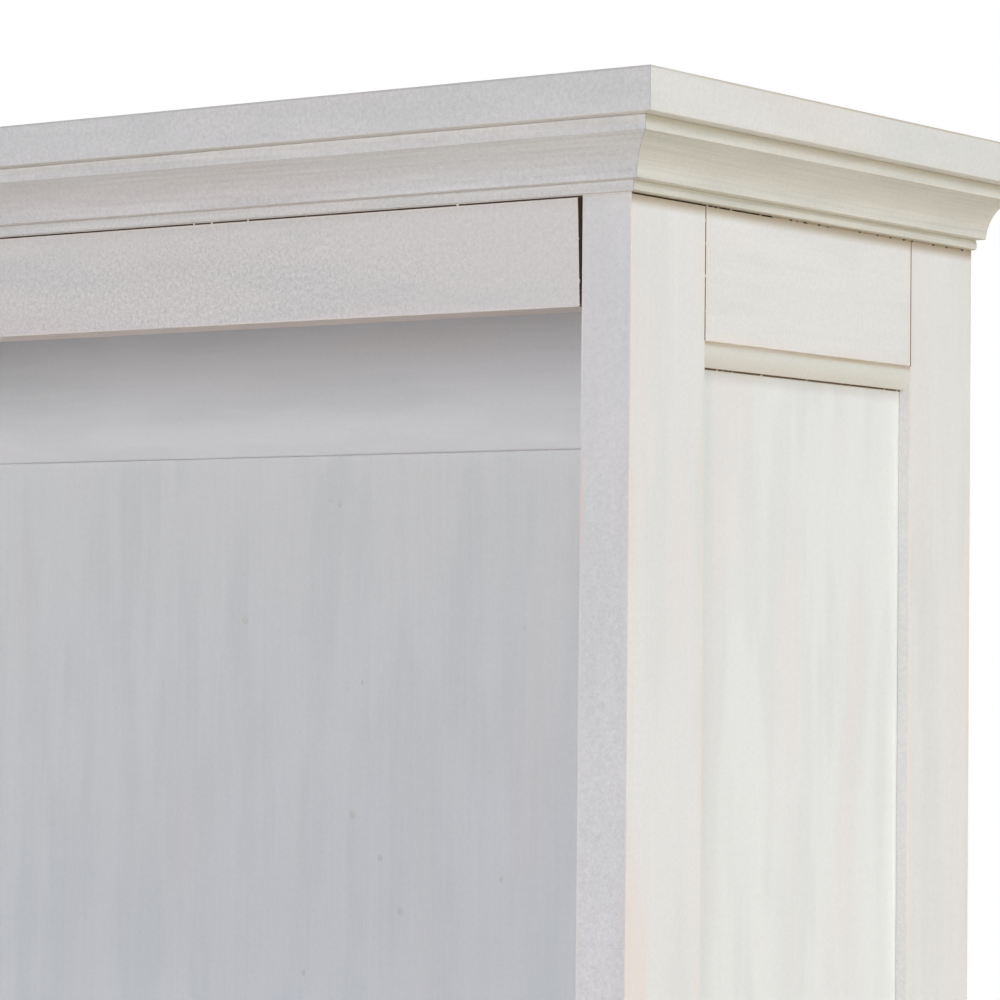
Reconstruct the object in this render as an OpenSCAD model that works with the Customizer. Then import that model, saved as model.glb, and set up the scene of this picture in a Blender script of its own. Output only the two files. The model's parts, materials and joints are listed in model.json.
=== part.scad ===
// Linen cabinet: an open upper case over a pair of panelled doors, under a mitred cove crown.
// Millimetres, +Z up. The front faces -Y, and the right-hand side faces +X.
// The origin is on the floor, in the middle of the cabinet's footprint with its crown.

/* [Case] */
// Width over the corner posts
case_w = 1067; // [760:1:1250]
// Depth from the front of the posts to the back
case_d = 457; // [380:1:620]
// Height from the floor to the top of the crown
case_h = 1930; // [1800:1:2150]
// Front face of a corner post
post_face = 40; // [36:1:50]
// Side face of a corner post
post_depth = 90; // [70:1:110]

/* [Front rails] */
// Height of the header rail
header_h = 74; // [60:1:95]
// Thickness of the front rails
rail_t = 38; // [30:1:42]
// Shoulder gap at the header's right-hand end, at its top edge
gap_top = 4; // [0:0.1:6]
// The same gap at the header's lower edge
gap_foot = 1.7; // [0:0.1:3]
// Height of the waist rail
waist_h = 74; // [60:1:95]
// Height of the bottom rail
base_h = 90; // [60:1:110]

/* [Levels] */
// Top of the waist rail and its fixed shelf, above the floor
waist_z = 835; // [700:1:950]
// Underside of the bottom rails, above the floor
toe_z = 72; // [40:1:120]
// Underside of the upper shelf, above the floor
upper_shelf_z = 1168; // [1020:1:1300]
// Underside of the lower shelf, above the floor
lower_shelf_z = 452; // [360:1:560]

/* [Sides and back] */
// Thickness of the side rails
side_rail_t = 25; // [22:0.5:30]
// Height of the top rail of each side
side_top_h = 92.5; // [70:0.5:130]
// Height of the strip of bead under a side rail
bead_h = 18.5; // [14:0.5:24]
// Distance from the face of a side rail back to its panel
panel_recess = 9.5; // [8:0.5:11]
// Thickness of the side panels
panel_t = 9; // [6:0.5:10]
// Thickness of the back rails
back_rail_t = 22; // [18:0.5:28]
// Height of the back's top rail
back_top_h = 143; // [100:1:200]
// Thickness of the back panels
back_panel_t = 6; // [4:0.5:8]
// Depth of the grooves that hold the panels
groove_d = 9; // [6:0.5:10]

/* [Boards and shelves] */
// Thickness of the fixed boards
board_t = 19; // [15:0.5:24]
// Thickness of the ceiling panel
ceiling_t = 12; // [9:0.5:18]
// Thickness of the loose shelves
shelf_t = 22; // [18:0.5:26]
// Distance from the face of the posts back to the upper shelf
shelf_setback = 20; // [5:1:40]
// Side of the square cleats under the fixed boards
cleat = 20; // [16:1:24]
// Radius of a shelf pin's hole
pin_hole_r = 2.5; // [2:0.25:3.5]
// Spacing of the holes for shelf pins
pin_pitch = 32; // [25:1:40]

/* [Crown] */
// Overhang of the top board beyond the posts
crown_out = 44.5; // [42:0.5:60]
// Thickness of the top board and its lippings
top_t = 30; // [24:0.5:38]
// Width of the lippings
lip_w = 70; // [62:1:100]
// Height of the cove moulding
cove_h = 46; // [42:0.5:60]
// Shadow gap between the case and the moulding
crown_gap = 1.5; // [0.5:0.1:3]
// Thickness of the riser frame behind the moulding
riser_t = 22; // [18:0.5:24]

/* [Doors] */
// Thickness of a door
door_t = 22; // [20:0.5:26]
// Width of a door's stiles
stile_w = 62; // [50:1:80]
// Height of a door's rails
door_rail_h = 70; // [55:1:100]
// Thickness of a door's panel
door_panel_t = 6; // [5:0.5:8]
// Gap round a door
door_gap = 2; // [1.5:0.1:3]
// Gap where the doors meet
meet_gap = 3; // [2.5:0.1:4]
// Distance from a door's top to the centre of its knob
knob_drop = 120; // [80:1:250]
// Radius of the knob's head
knob_r = 14.5; // [12:0.5:18]
// Projection of the knob
knob_out = 26; // [22:0.5:32]

/* [Hinges] */
// Height of a hinge
hinge_h = 60; // [45:1:80]
// Width of a hinge leaf
leaf_w = 19; // [15:0.5:19.5]
// Thickness of a hinge leaf
leaf_t = 1.5; // [1.2:0.1:2]
// Radius of a hinge knuckle
knuckle_r = 4; // [3.5:0.1:4.5]
// Radius of a hinge pin
pin_r = 2; // [1.5:0.1:2.5]
// Distance from a door's end to the middle of a hinge
hinge_drop = 90; // [60:1:130]

/* [Hidden] */
$fn = 48;

// Fits and small sizes of the joinery
fit = 0.15;         // clearance on each side of a tenon or a panel
board_fit = 0.3;    // clearance round a fixed board
shelf_play = 2;     // clearance at each end of a loose shelf
end_play = 1;       // clearance at the bottom of a mortise or a groove
round_fit = 0.05;   // radial clearance of a pin in its hole
tenon_t = 12;       // thickness of the front rails' tenons
side_tenon_t = 9;   // thickness of the tenons of the side and back rails
tenon_l = 24;       // length of every tenon
shoulder = 12;      // part of a rail's edge that a tenon leaves off
mitre_open = 0.2;   // what each mitred end is short of the mitre
over = 1;           // how far a cut, or a shape that joins another, runs past the surface
seam = 0.1;         // the same between two parts of one moulding's section
crown_back = 6;     // setback of the moulding's back from the posts' faces

// Planes of the case
half_w = case_w / 2;
front = (crown_out - case_d) / 2;
back = front + case_d;
inner_x = half_w - post_face;
side_in = half_w - side_rail_t;
back_in = back - back_rail_t;
crown_z = case_h - top_t;
top_z = crown_z - cove_h - crown_gap;
header_z = top_z - header_h;
waist_foot = waist_z - waist_h;
base_z = toe_z + base_h;
side_top_z = top_z - side_top_h;
back_top_z = top_z - back_top_h;

// Foot glides
glide_h = 4;
glide_r = 11;
nail_r = 1.2;
nail_l = 14;

// Doors, from the meeting edge at door_x0 to the hinge edge at door_x1
door_x0 = meet_gap / 2;
door_x1 = inner_x - door_gap;
door_z0 = base_z + door_gap;
door_z1 = waist_foot - door_gap;
door_back = front + door_t;
door_groove_d = 9;
pin_x = inner_x - door_gap / 2;
knuckle_off = 0.5;  // gap between a knuckle and the plane of the doors
pin_y = front - knuckle_r - knuckle_off;
knuckle_gap = 0.3;
hinge_levels = [door_z0 + hinge_drop, door_z1 - hinge_drop];

// Catches and strikes
catch_w = 44;
catch_h = 12;
catch_gap = 0.4;
strike_t = 1;
strike_x = door_x0 + stile_w / 2;

// Rows of holes for the shelf pins: underside of the shelf, and holes above and below it
shelf_rows = [[upper_shelf_z, 2], [lower_shelf_z, 1]];
pin_drop = 4;       // from a shelf's underside to the centre of its pins
pin_depth = 10;
pin_ys = [front + post_depth / 2, back - post_depth / 2];

white = [0.80, 0.79, 0.79];
inside = [0.74, 0.74, 0.76];
raw = [0.62, 0.47, 0.34];
metal = [0.42, 0.37, 0.32];

// Basic shapes

module block(x, y, z) {
    translate([x[0], y[0], z[0]]) cube([x[1] - x[0], y[1] - y[0], z[1] - z[0]]);
}

module left() {
    mirror([1, 0, 0]) children();
}

// A rod along X, Y or Z from a point
module rod_x(p, r, l) {
    translate(p) rotate([0, 90, 0]) cylinder(r = r, h = l);
}

module rod_y(p, r, l) {
    translate(p) rotate([-90, 0, 0]) cylinder(r = r, h = l);
}

module rod_z(p, r, l) {
    translate(p) cylinder(r = r, h = l);
}

// Joinery: a tenon and its mortise share these blocks. grow is the mortise's clearance.

module tenon_x(x0, y_mid, t, z, grow = 0) {
    block(
        [x0, x0 + tenon_l + grow / fit * end_play],
        [y_mid - t / 2 - grow, y_mid + t / 2 + grow],
        [z[0] + shoulder - grow, z[1] - shoulder + grow]
    );
}

module tenon_y(x_mid, y, t, z, grow = 0) {
    block(
        [x_mid - t / 2 - grow, x_mid + t / 2 + grow],
        y,
        [z[0] + shoulder - grow, z[1] - shoulder + grow]
    );
}

// Levels of the rails: [underside, top]
header_span = [header_z, top_z];
waist_span = [waist_foot, waist_z];
base_span = [toe_z, base_z];
side_top_span = [side_top_z, top_z];
back_top_span = [back_top_z, top_z];

rail_mid = front + rail_t / 2;
back_mid = back - back_rail_t / 2;
side_mid = half_w - panel_recess - panel_t / 2;

// Mortises in the right-hand posts

module front_mortises() {
    for (z = [header_span, waist_span, base_span])
        tenon_x(inner_x, rail_mid, tenon_t, z, fit);
}

module back_mortises() {
    for (z = [back_top_span, waist_span, base_span])
        tenon_x(inner_x, back_mid, side_tenon_t, z, fit);
}

module side_mortises() {
    reach = tenon_l + end_play;
    for (z = [side_top_span, waist_span, base_span])
        tenon_y(
            side_mid,
            [front + post_depth - reach, back - post_depth + reach],
            side_tenon_t, z, fit
        );
}

// Space that a side panel fills, with its edges in the grooves

module side_panel_block(z, grow = 0) {
    edge = groove_d - end_play + grow / fit * end_play;
    block(
        [half_w - panel_recess - panel_t - grow, half_w - panel_recess + grow],
        [front + post_depth - edge, back - post_depth + edge],
        [z[0] - edge, z[1] + edge]
    );
}

upper_side = [waist_z, side_top_z];
lower_side = [base_z, waist_foot];

module side_grooves() {
    for (z = [upper_side, lower_side]) side_panel_block(z, fit);
}

module back_panel_block(z, grow = 0) {
    edge = groove_d - end_play + grow / fit * end_play;
    block(
        [-inner_x - edge, inner_x + edge],
        [back_mid - back_panel_t / 2 - grow, back_mid + back_panel_t / 2 + grow],
        [z[0] - edge, z[1] + edge]
    );
}

upper_back = [waist_z, back_top_z];
lower_back = [base_z, waist_foot];

module back_grooves() {
    for (z = [upper_back, lower_back]) back_panel_block(z, fit);
}

module pin_holes(y) {
    for (row = shelf_rows, k = [-row[1] : row[1]])
        rod_x([inner_x - over, y, row[0] - pin_drop + k * pin_pitch], pin_hole_r, pin_depth + over);
}

module nail_hole(y) {
    rod_z([half_w - post_face / 2, y, glide_h - over], nail_r + round_fit, nail_l + end_play + over);
}

module frame_leaf_seats() {
    for (z = hinge_levels)
        block(
            [inner_x - over, inner_x + leaf_t],
            [front - over, front + leaf_w + fit],
            [z - hinge_h / 2 - fit, z + hinge_h / 2 + fit]
        );
}

// Corner posts

module front_post() {
    difference() {
        block([inner_x, half_w], [front, front + post_depth], [glide_h, top_z]);
        front_mortises();
        side_mortises();
        side_grooves();
        pin_holes(pin_ys[0]);
        frame_leaf_seats();
        nail_hole(front + post_depth / 2);
    }
}

module rear_post() {
    difference() {
        block([inner_x, half_w], [back - post_depth, back], [glide_h, top_z]);
        back_mortises();
        side_mortises();
        side_grooves();
        back_grooves();
        pin_holes(pin_ys[1]);
        nail_hole(back - post_depth / 2);
    }
}

module front_post_right() { color(white) front_post(); }
module front_post_left() { color(white) left() front_post(); }
module rear_post_right() { color(white) rear_post(); }
module rear_post_left() { color(white) left() rear_post(); }

// Front rails. The header has shrunk away from the right-hand post, more at its top edge.

module header_rail() {
    color(white) {
        translate([0, front + rail_t, 0]) rotate([90, 0, 0]) linear_extrude(rail_t)
            polygon([
                [-inner_x, header_z],
                [inner_x - gap_foot, header_z],
                [inner_x - gap_top, top_z],
                [-inner_x, top_z]
            ]);
        block(
            [-inner_x - tenon_l, inner_x + tenon_l],
            [rail_mid - tenon_t / 2, rail_mid + tenon_t / 2],
            [header_z + shoulder, top_z - shoulder]
        );
    }
}

module front_rail(z) {
    block([-inner_x, inner_x], [front, front + rail_t], z);
    tenon_x(inner_x, rail_mid, tenon_t, z);
    left() tenon_x(inner_x, rail_mid, tenon_t, z);
}

module waist_rail() { color(white) front_rail(waist_span); }
module bottom_rail() { color(white) front_rail(base_span); }

// Side rails

module side_rail(z) {
    difference() {
        union() {
            block([side_in, half_w], [front + post_depth, back - post_depth], z);
            tenon_y(
                side_mid,
                [front + post_depth - tenon_l, back - post_depth + tenon_l],
                side_tenon_t, z
            );
        }
        side_grooves();
    }
}

module side_top_rail_right() { color(white) side_rail(side_top_span); }
module side_top_rail_left() { color(white) left() side_rail(side_top_span); }
module side_waist_rail_right() { color(white) side_rail(waist_span); }
module side_waist_rail_left() { color(white) left() side_rail(waist_span); }
module side_bottom_rail_right() { color(white) side_rail(base_span); }
module side_bottom_rail_left() { color(white) left() side_rail(base_span); }

// Side panels

module side_upper_panel_right() { color(white) side_panel_block(upper_side); }
module side_upper_panel_left() { color(white) left() side_panel_block(upper_side); }
module side_lower_panel_right() { color(white) side_panel_block(lower_side); }
module side_lower_panel_left() { color(white) left() side_panel_block(lower_side); }

// Strips of bead in the corner of rail and panel: a quirk at the top, one convex curve, and a
// shadow line at the foot

bead_curve_r = 24;
quirk = 1.5;
foot_gap = 1.3;     // height of the shadow line under the bead
foot_lip = 0.8;     // what stands proud of the panel there

module bead_profile() {
    intersection() {
        translate([0, foot_gap - bead_h]) square([panel_recess, bead_h - foot_gap - quirk]);
        translate([panel_recess - bead_curve_r, -quirk]) circle(r = bead_curve_r, $fn = 96);
    }
    translate([0, -quirk - seam]) square([panel_recess - quirk, quirk + seam]);
    translate([0, -bead_h]) square([foot_lip, foot_gap + seam]);
}

module bead_strip(z) {
    translate([half_w - panel_recess, back - post_depth, z]) rotate([90, 0, 0])
        linear_extrude(case_d - 2 * post_depth) bead_profile();
}

module side_beads() {
    color(white) for (z = [side_top_z, waist_foot]) {
        bead_strip(z);
        left() bead_strip(z);
    }
}

// Back

module back_rail(z) {
    difference() {
        union() {
            block([-inner_x, inner_x], [back_in, back], z);
            tenon_x(inner_x, back_mid, side_tenon_t, z);
            left() tenon_x(inner_x, back_mid, side_tenon_t, z);
        }
        back_grooves();
    }
}

module back_top_rail() { color(inside) back_rail(back_top_span); }
module back_waist_rail() { color(inside) back_rail(waist_span); }
module back_bottom_rail() { color(inside) back_rail(base_span); }
module back_upper_panel() { color(inside) back_panel_block(upper_back); }
module back_lower_panel() { color(inside) back_panel_block(lower_back); }

// Fixed boards, notched round the posts, and the cleats that carry them

module notched_board(z) {
    x_end = side_in - board_fit;
    difference() {
        block([-x_end, x_end], [front + rail_t, back_in], z);
        for (s = [-1, 1], y = [front + post_depth, back - post_depth])
            translate([s * (inner_x - board_fit + post_face / 2), y, z[0] - over])
                translate([-post_face / 2, y < 0 ? board_fit - post_depth : -board_fit, 0])
                    cube([post_face, post_depth, z[1] - z[0] + 2 * over]);
    }
}

module ceiling_panel() { color(inside) notched_board([top_z - ceiling_t, top_z]); }
module waist_shelf() { color(white) notched_board([waist_z - board_t, waist_z]); }
module bottom_board() { color(white) notched_board([base_z - board_t, base_z]); }

module board_cleats() {
    color(raw) for (z = [top_z - ceiling_t, waist_z - board_t, base_z - board_t]) {
        side_cleat(z);
        left() side_cleat(z);
    }
}

module side_cleat(z) {
    block([side_in - cleat, side_in], [front + post_depth, back - post_depth], [z - cleat, z]);
}

// Loose shelves, with an eased front edge, and the pins that carry them

module loose_shelf(y0, z) {
    x_end = inner_x - shelf_play;
    y_end = back_in - shelf_play;
    r = shelf_t / 4;
    translate([-x_end, 0, z]) rotate([90, 0, 90]) linear_extrude(2 * x_end) union() {
        translate([y0 + r, 0]) square([y_end - y0 - r, shelf_t]);
        translate([y0, 0]) square([r, shelf_t - r]);
        translate([y0 + r, shelf_t - r]) circle(r = r);
    }
}

module upper_shelf() { color(white) loose_shelf(front + shelf_setback, upper_shelf_z); }
module lower_shelf() { color(white) loose_shelf(front + rail_t + shelf_play, lower_shelf_z); }

pin_tongue = 12;
pin_tongue_w = 8;
pin_tongue_t = 2.5;
collar_t = 1.5;

module shelf_pin(y, z) {
    peg_r = pin_hole_r - round_fit;
    rod_x([inner_x - collar_t, y, z - pin_drop], peg_r, collar_t + pin_depth - end_play);
    rod_x([inner_x - collar_t, y, z - pin_drop], pin_drop, collar_t);
    block(
        [inner_x - pin_tongue, inner_x],
        [y - pin_tongue_w / 2, y + pin_tongue_w / 2],
        [z - pin_tongue_t, z]
    );
}

module shelf_pins() {
    color(metal) for (row = shelf_rows, y = pin_ys) {
        shelf_pin(y, row[0]);
        left() shelf_pin(y, row[0]);
    }
}

// Crown: a riser frame on the case, mitred cove mouldings round it, and the lipped top board

riser_x = half_w - crown_back;
riser_y0 = front + crown_back;
riser_span = [top_z, crown_z];

module crown_riser_front() {
    color(raw) block([-riser_x, riser_x], [riser_y0, riser_y0 + riser_t], riser_span);
}

module crown_riser_back() {
    color(raw) block([-riser_x, riser_x], [back - riser_t, back], riser_span);
}

module riser_side() {
    color(raw)
        block([riser_x - riser_t, riser_x], [riser_y0 + riser_t, back - riser_t], riser_span);
}

module crown_riser_right() { riser_side(); }
module crown_riser_left() { left() riser_side(); }

// Section of the moulding: x is the distance out from the posts' faces, and y is up from the
// moulding's underside. From the top it has a fillet, a cove and a rounded lower bead.
fillet_h = 10;
fillet_out = 33.5;
nose_h = 7.5;
nose_out = 4.9;
nose_r = 6;
cove_r = 33;
cove_x = 45.5;
cove_drop = 2.5;

module moulding_section() {
    translate([-crown_back, cove_h - fillet_h]) square([fillet_out + crown_back, fillet_h]);
    difference() {
        translate([-crown_back, nose_h])
            square([fillet_out + crown_back, cove_h - fillet_h - nose_h]);
        translate([cove_x, nose_h - cove_drop]) circle(r = cove_r, $fn = 128);
    }
    translate([-crown_back, 0]) square([crown_back, nose_h + seam]);
    intersection() {
        translate([-crown_back, 0]) square([2 * nose_out + crown_back, nose_h]);
        translate([nose_out - nose_r, nose_h / 2]) circle(r = nose_r);
    }
}

// Plans of the mitred pieces. far is past the widest point of the crown.
far = 2 * crown_out;

module front_plan(inset) {
    x_in = half_w - inset - mitre_open;
    x_out = half_w + far - mitre_open;
    linear_extrude(case_h + over)
        polygon([[-x_in, front + inset], [-x_out, front - far], [x_out, front - far],
            [x_in, front + inset]]);
}

module side_plan(inset) {
    x_in = half_w - inset;
    x_out = half_w + far;
    linear_extrude(case_h + over)
        polygon([[x_in, front + inset + mitre_open], [x_out, front - far + mitre_open],
            [x_out, back], [x_in, back]]);
}

module moulding_front() {
    intersection() {
        translate([-half_w - far, front, top_z + crown_gap]) rotate([90, 0, 90])
            linear_extrude(case_w + 2 * far) mirror([1, 0]) moulding_section();
        front_plan(crown_back);
    }
}

module moulding_side() {
    intersection() {
        translate([half_w, back, top_z + crown_gap]) rotate([90, 0, 0])
            linear_extrude(case_d + far) moulding_section();
        side_plan(crown_back);
    }
}

module crown_moulding_front() { color(white) moulding_front(); }
module crown_moulding_right() { color(white) moulding_side(); }
module crown_moulding_left() { color(white) left() moulding_side(); }

// Top board and its lippings
lip_in = lip_w - crown_out;
top_span = [crown_z, case_h];

module top_board() {
    color(white)
        block([lip_in - half_w, half_w - lip_in], [front + lip_in, back], top_span);
}

module lipping_front() {
    intersection() {
        block([-half_w - crown_out, half_w + crown_out], [front - crown_out, front + lip_in], top_span);
        front_plan(lip_in);
    }
}

module lipping_side() {
    intersection() {
        block([half_w - lip_in, half_w + crown_out], [front - crown_out, back], top_span);
        side_plan(lip_in);
    }
}

module top_lipping_front() { color(white) lipping_front(); }
module top_lipping_right() { color(white) lipping_side(); }
module top_lipping_left() { color(white) left() lipping_side(); }

// Glides under the posts

module glide(y) {
    rod_z([half_w - post_face / 2, y, 0], glide_r, glide_h);
    rod_z([half_w - post_face / 2, y, glide_h - over], nail_r, nail_l + over);
}

module foot_glides() {
    color([0.2, 0.2, 0.2]) for (y = [front + post_depth / 2, back - post_depth / 2]) {
        glide(y);
        left() glide(y);
    }
}

// Butt hinges: two knuckles and the pin belong to the post's leaf, the middle one to the door's

third = hinge_h / 3;

module frame_leaf(z) {
    z0 = z - hinge_h / 2;
    block([inner_x, inner_x + leaf_t], [front, front + leaf_w], [z0, z0 + hinge_h]);
    for (k = [0, 2]) {
        block(
            [inner_x, inner_x + leaf_t], [pin_y, front + over],
            [z0 + k * third, z0 + (k + 1) * third]
        );
        rod_z([pin_x, pin_y, z0 + k * third], knuckle_r, third);
    }
    rod_z([pin_x, pin_y, z0], pin_r, hinge_h);
}

module hinge_frame_leaves() {
    color(metal) for (z = hinge_levels) {
        frame_leaf(z);
        left() frame_leaf(z);
    }
}

module door_leaf(z) {
    z0 = z - third / 2 + knuckle_gap;
    z1 = z + third / 2 - knuckle_gap;
    difference() {
        union() {
            block([door_x1 - leaf_t, door_x1], [front, front + leaf_w], [z - hinge_h / 2, z + hinge_h / 2]);
            block([door_x1 - leaf_t, door_x1], [pin_y, front + over], [z0, z1]);
            rod_z([pin_x, pin_y, z0], knuckle_r, z1 - z0);
        }
        rod_z([pin_x, pin_y, z0 - over], pin_r + round_fit, z1 - z0 + 2 * over);
    }
}

module door_leaf_seats() {
    for (z = hinge_levels)
        block(
            [door_x1 - leaf_t, door_x1 + over],
            [front - over, front + leaf_w + fit],
            [z - hinge_h / 2 - fit, z + hinge_h / 2 + fit]
        );
}

// Right-hand door; the left-hand one is its mirror image

door_mid = front + door_t / 2;
open_x = [door_x0 + stile_w, door_x1 - stile_w];
open_z = [door_z0 + door_rail_h, door_z1 - door_rail_h];
knob_x = door_x0 + stile_w / 2;
knob_z = door_z1 - knob_drop;
stub = door_groove_d - end_play;

module door_panel_space(grow = 0) {
    edge = stub + grow / fit * end_play;
    block(
        [open_x[0] - edge, open_x[1] + edge],
        [door_mid - door_panel_t / 2 - grow, door_mid + door_panel_t / 2 + grow],
        [open_z[0] - edge, open_z[1] + edge]
    );
}

// The stiles' grooves run from end to end and take the rails' stub tenons too
module stile_grooves() {
    block(
        [open_x[0] - door_groove_d, open_x[1] + door_groove_d],
        [door_mid - door_panel_t / 2 - fit, door_mid + door_panel_t / 2 + fit],
        [door_z0 - over, door_z1 + over]
    );
}

module hinge_stile() {
    difference() {
        block([open_x[1], door_x1], [front, door_back], [door_z0, door_z1]);
        stile_grooves();
        door_leaf_seats();
    }
}

spigot_r = 4;
spigot_l = 8;

module meeting_stile() {
    difference() {
        block([door_x0, open_x[0]], [front, door_back], [door_z0, door_z1]);
        stile_grooves();
        rod_y([knob_x, front - over, knob_z], spigot_r + round_fit, spigot_l + end_play + over);
        strike_seat();
    }
}

module door_rail(z) {
    difference() {
        union() {
            block(open_x, [front, door_back], z);
            block(
                [open_x[0] - stub, open_x[1] + stub],
                [door_mid - door_panel_t / 2, door_mid + door_panel_t / 2],
                z
            );
        }
        door_panel_space(fit);
    }
}

module door_top_rail() { door_rail([open_z[1], door_z1]); }
module door_bottom_rail() { door_rail([door_z0, open_z[0]]); }

// A turned knob on a spigot
module knob() {
    base_r = 9;
    base_t = 2;
    neck_r = 6.5;
    head_z = 12;
    dome_r = 17;
    translate([knob_x, front, knob_z]) rotate([90, 0, 0]) rotate_extrude($fn = 72) {
        square([base_r, base_t]);
        square([neck_r, head_z + over]);
        intersection() {
            translate([0, knob_out - dome_r]) circle(r = dome_r, $fn = 96);
            translate([0, head_z]) square([knob_r, knob_out - head_z]);
        }
    }
    rod_y([knob_x, front - over, knob_z], spigot_r, spigot_l + over);
}

module strike(grow = 0) {
    half_strike = catch_w / 4;
    block(
        [strike_x - half_strike - grow, strike_x + half_strike + grow],
        [door_back - strike_t, door_back + (grow > 0 ? over : 0)],
        [door_z1 - catch_h - grow, door_z1 - door_gap + grow]
    );
}

module strike_seat() { strike(fit); }

// A catch for each door, under the waist rail and behind the strike
module catch() {
    block(
        [strike_x - catch_w / 2, strike_x + catch_w / 2],
        [door_back + catch_gap, front + rail_t],
        [waist_foot - catch_h, waist_foot]
    );
}

module door_catches() {
    color([0.85, 0.85, 0.83]) {
        catch();
        left() catch();
    }
}

module door_hinge_leaves() {
    for (z = hinge_levels) door_leaf(z);
}

module door_right_hinge_stile() { color(white) hinge_stile(); }
module door_right_meeting_stile() { color(white) meeting_stile(); }
module door_right_top_rail() { color(white) door_top_rail(); }
module door_right_bottom_rail() { color(white) door_bottom_rail(); }
module door_right_panel() { color(white) door_panel_space(); }
module door_right_knob() { color(metal) knob(); }
module door_right_hinge_leaves() { color(metal) door_hinge_leaves(); }
module door_right_strike() { color(metal) strike(); }
module door_left_hinge_stile() { color(white) left() hinge_stile(); }
module door_left_meeting_stile() { color(white) left() meeting_stile(); }
module door_left_top_rail() { color(white) left() door_top_rail(); }
module door_left_bottom_rail() { color(white) left() door_bottom_rail(); }
module door_left_panel() { color(white) left() door_panel_space(); }
module door_left_knob() { color(metal) left() knob(); }
module door_left_hinge_leaves() { color(metal) left() door_hinge_leaves(); }
module door_left_strike() { color(metal) left() strike(); }

front_post_left();
front_post_right();
rear_post_left();
rear_post_right();
header_rail();
waist_rail();
bottom_rail();
side_top_rail_left();
side_top_rail_right();
side_waist_rail_left();
side_waist_rail_right();
side_bottom_rail_left();
side_bottom_rail_right();
side_upper_panel_left();
side_upper_panel_right();
side_lower_panel_left();
side_lower_panel_right();
side_beads();
back_top_rail();
back_waist_rail();
back_bottom_rail();
back_upper_panel();
back_lower_panel();
ceiling_panel();
waist_shelf();
bottom_board();
board_cleats();
upper_shelf();
lower_shelf();
shelf_pins();
crown_riser_front();
crown_riser_back();
crown_riser_left();
crown_riser_right();
crown_moulding_front();
crown_moulding_left();
crown_moulding_right();
top_board();
top_lipping_front();
top_lipping_left();
top_lipping_right();
foot_glides();
hinge_frame_leaves();
door_catches();
door_left_hinge_stile();
door_left_meeting_stile();
door_left_top_rail();
door_left_bottom_rail();
door_left_panel();
door_left_knob();
door_left_hinge_leaves();
door_left_strike();
door_right_hinge_stile();
door_right_meeting_stile();
door_right_top_rail();
door_right_bottom_rail();
door_right_panel();
door_right_knob();
door_right_hinge_leaves();
door_right_strike();
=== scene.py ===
# %% [markdown]
# # A linen cabinet in whitewashed wood
# The cabinet is a frame of posts and rails with thin panels in grooves, under a crown of
# mitred mouldings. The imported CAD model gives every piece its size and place. This script
# gives the pieces what a CAD solid lacks: eased edges, brushed paint, wear and grime, small
# fastenings, and the light and camera of the photograph.
#
# Two ways were open: to model the cabinet again here, or to dress the solids. The solids are
# dressed, because then the doors, joints and sizes can't drift from the CAD model.

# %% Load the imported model
import json
import math
from collections import defaultdict

import bmesh
import bpy
from mathutils import Matrix, Vector
from mathutils.bvhtree import BVHTree

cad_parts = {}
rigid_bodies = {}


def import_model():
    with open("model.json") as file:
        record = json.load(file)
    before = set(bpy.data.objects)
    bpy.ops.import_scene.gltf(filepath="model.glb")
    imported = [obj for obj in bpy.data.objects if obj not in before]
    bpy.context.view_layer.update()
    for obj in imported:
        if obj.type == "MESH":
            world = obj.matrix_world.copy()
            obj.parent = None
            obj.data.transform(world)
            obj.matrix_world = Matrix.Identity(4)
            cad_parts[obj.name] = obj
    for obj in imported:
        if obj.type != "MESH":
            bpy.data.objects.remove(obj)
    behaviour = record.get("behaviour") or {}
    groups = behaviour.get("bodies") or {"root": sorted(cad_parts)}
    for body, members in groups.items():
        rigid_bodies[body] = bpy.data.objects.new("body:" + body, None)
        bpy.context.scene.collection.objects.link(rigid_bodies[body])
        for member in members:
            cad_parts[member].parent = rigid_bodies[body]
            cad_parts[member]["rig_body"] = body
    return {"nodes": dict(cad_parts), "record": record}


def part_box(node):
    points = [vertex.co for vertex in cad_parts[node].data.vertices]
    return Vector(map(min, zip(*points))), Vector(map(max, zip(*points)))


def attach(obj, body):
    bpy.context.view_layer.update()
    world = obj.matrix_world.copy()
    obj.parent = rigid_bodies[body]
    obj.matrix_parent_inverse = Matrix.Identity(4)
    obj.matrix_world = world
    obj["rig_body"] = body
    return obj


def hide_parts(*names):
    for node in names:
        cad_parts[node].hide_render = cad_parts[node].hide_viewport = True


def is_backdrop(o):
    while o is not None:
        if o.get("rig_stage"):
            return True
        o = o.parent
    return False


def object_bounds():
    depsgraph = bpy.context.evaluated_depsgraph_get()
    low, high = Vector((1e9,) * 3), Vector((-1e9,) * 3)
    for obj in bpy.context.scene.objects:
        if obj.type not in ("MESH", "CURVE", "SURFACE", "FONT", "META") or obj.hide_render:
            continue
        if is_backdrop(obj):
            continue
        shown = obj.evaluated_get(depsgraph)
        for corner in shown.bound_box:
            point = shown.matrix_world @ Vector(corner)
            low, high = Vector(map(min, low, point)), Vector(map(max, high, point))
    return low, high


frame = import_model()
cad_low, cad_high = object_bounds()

MM = 0.001
nodes = frame["nodes"]
body_of_node = {n: o["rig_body"] for n, o in nodes.items()}
print("nodes", len(nodes), "box", [round(v, 4) for v in cad_high - cad_low])


# %% Two short ways that are used throughout
def to_mesh(bm, name):
    """A mesh from a bmesh, which is freed."""
    mesh = bpy.data.meshes.new(name)
    bm.to_mesh(mesh)
    bm.free()
    return mesh


def in_scene(name, data):
    """An object of the scene that shows this data."""
    made = bpy.data.objects.new(name, data)
    bpy.context.scene.collection.objects.link(made)
    return made


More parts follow.
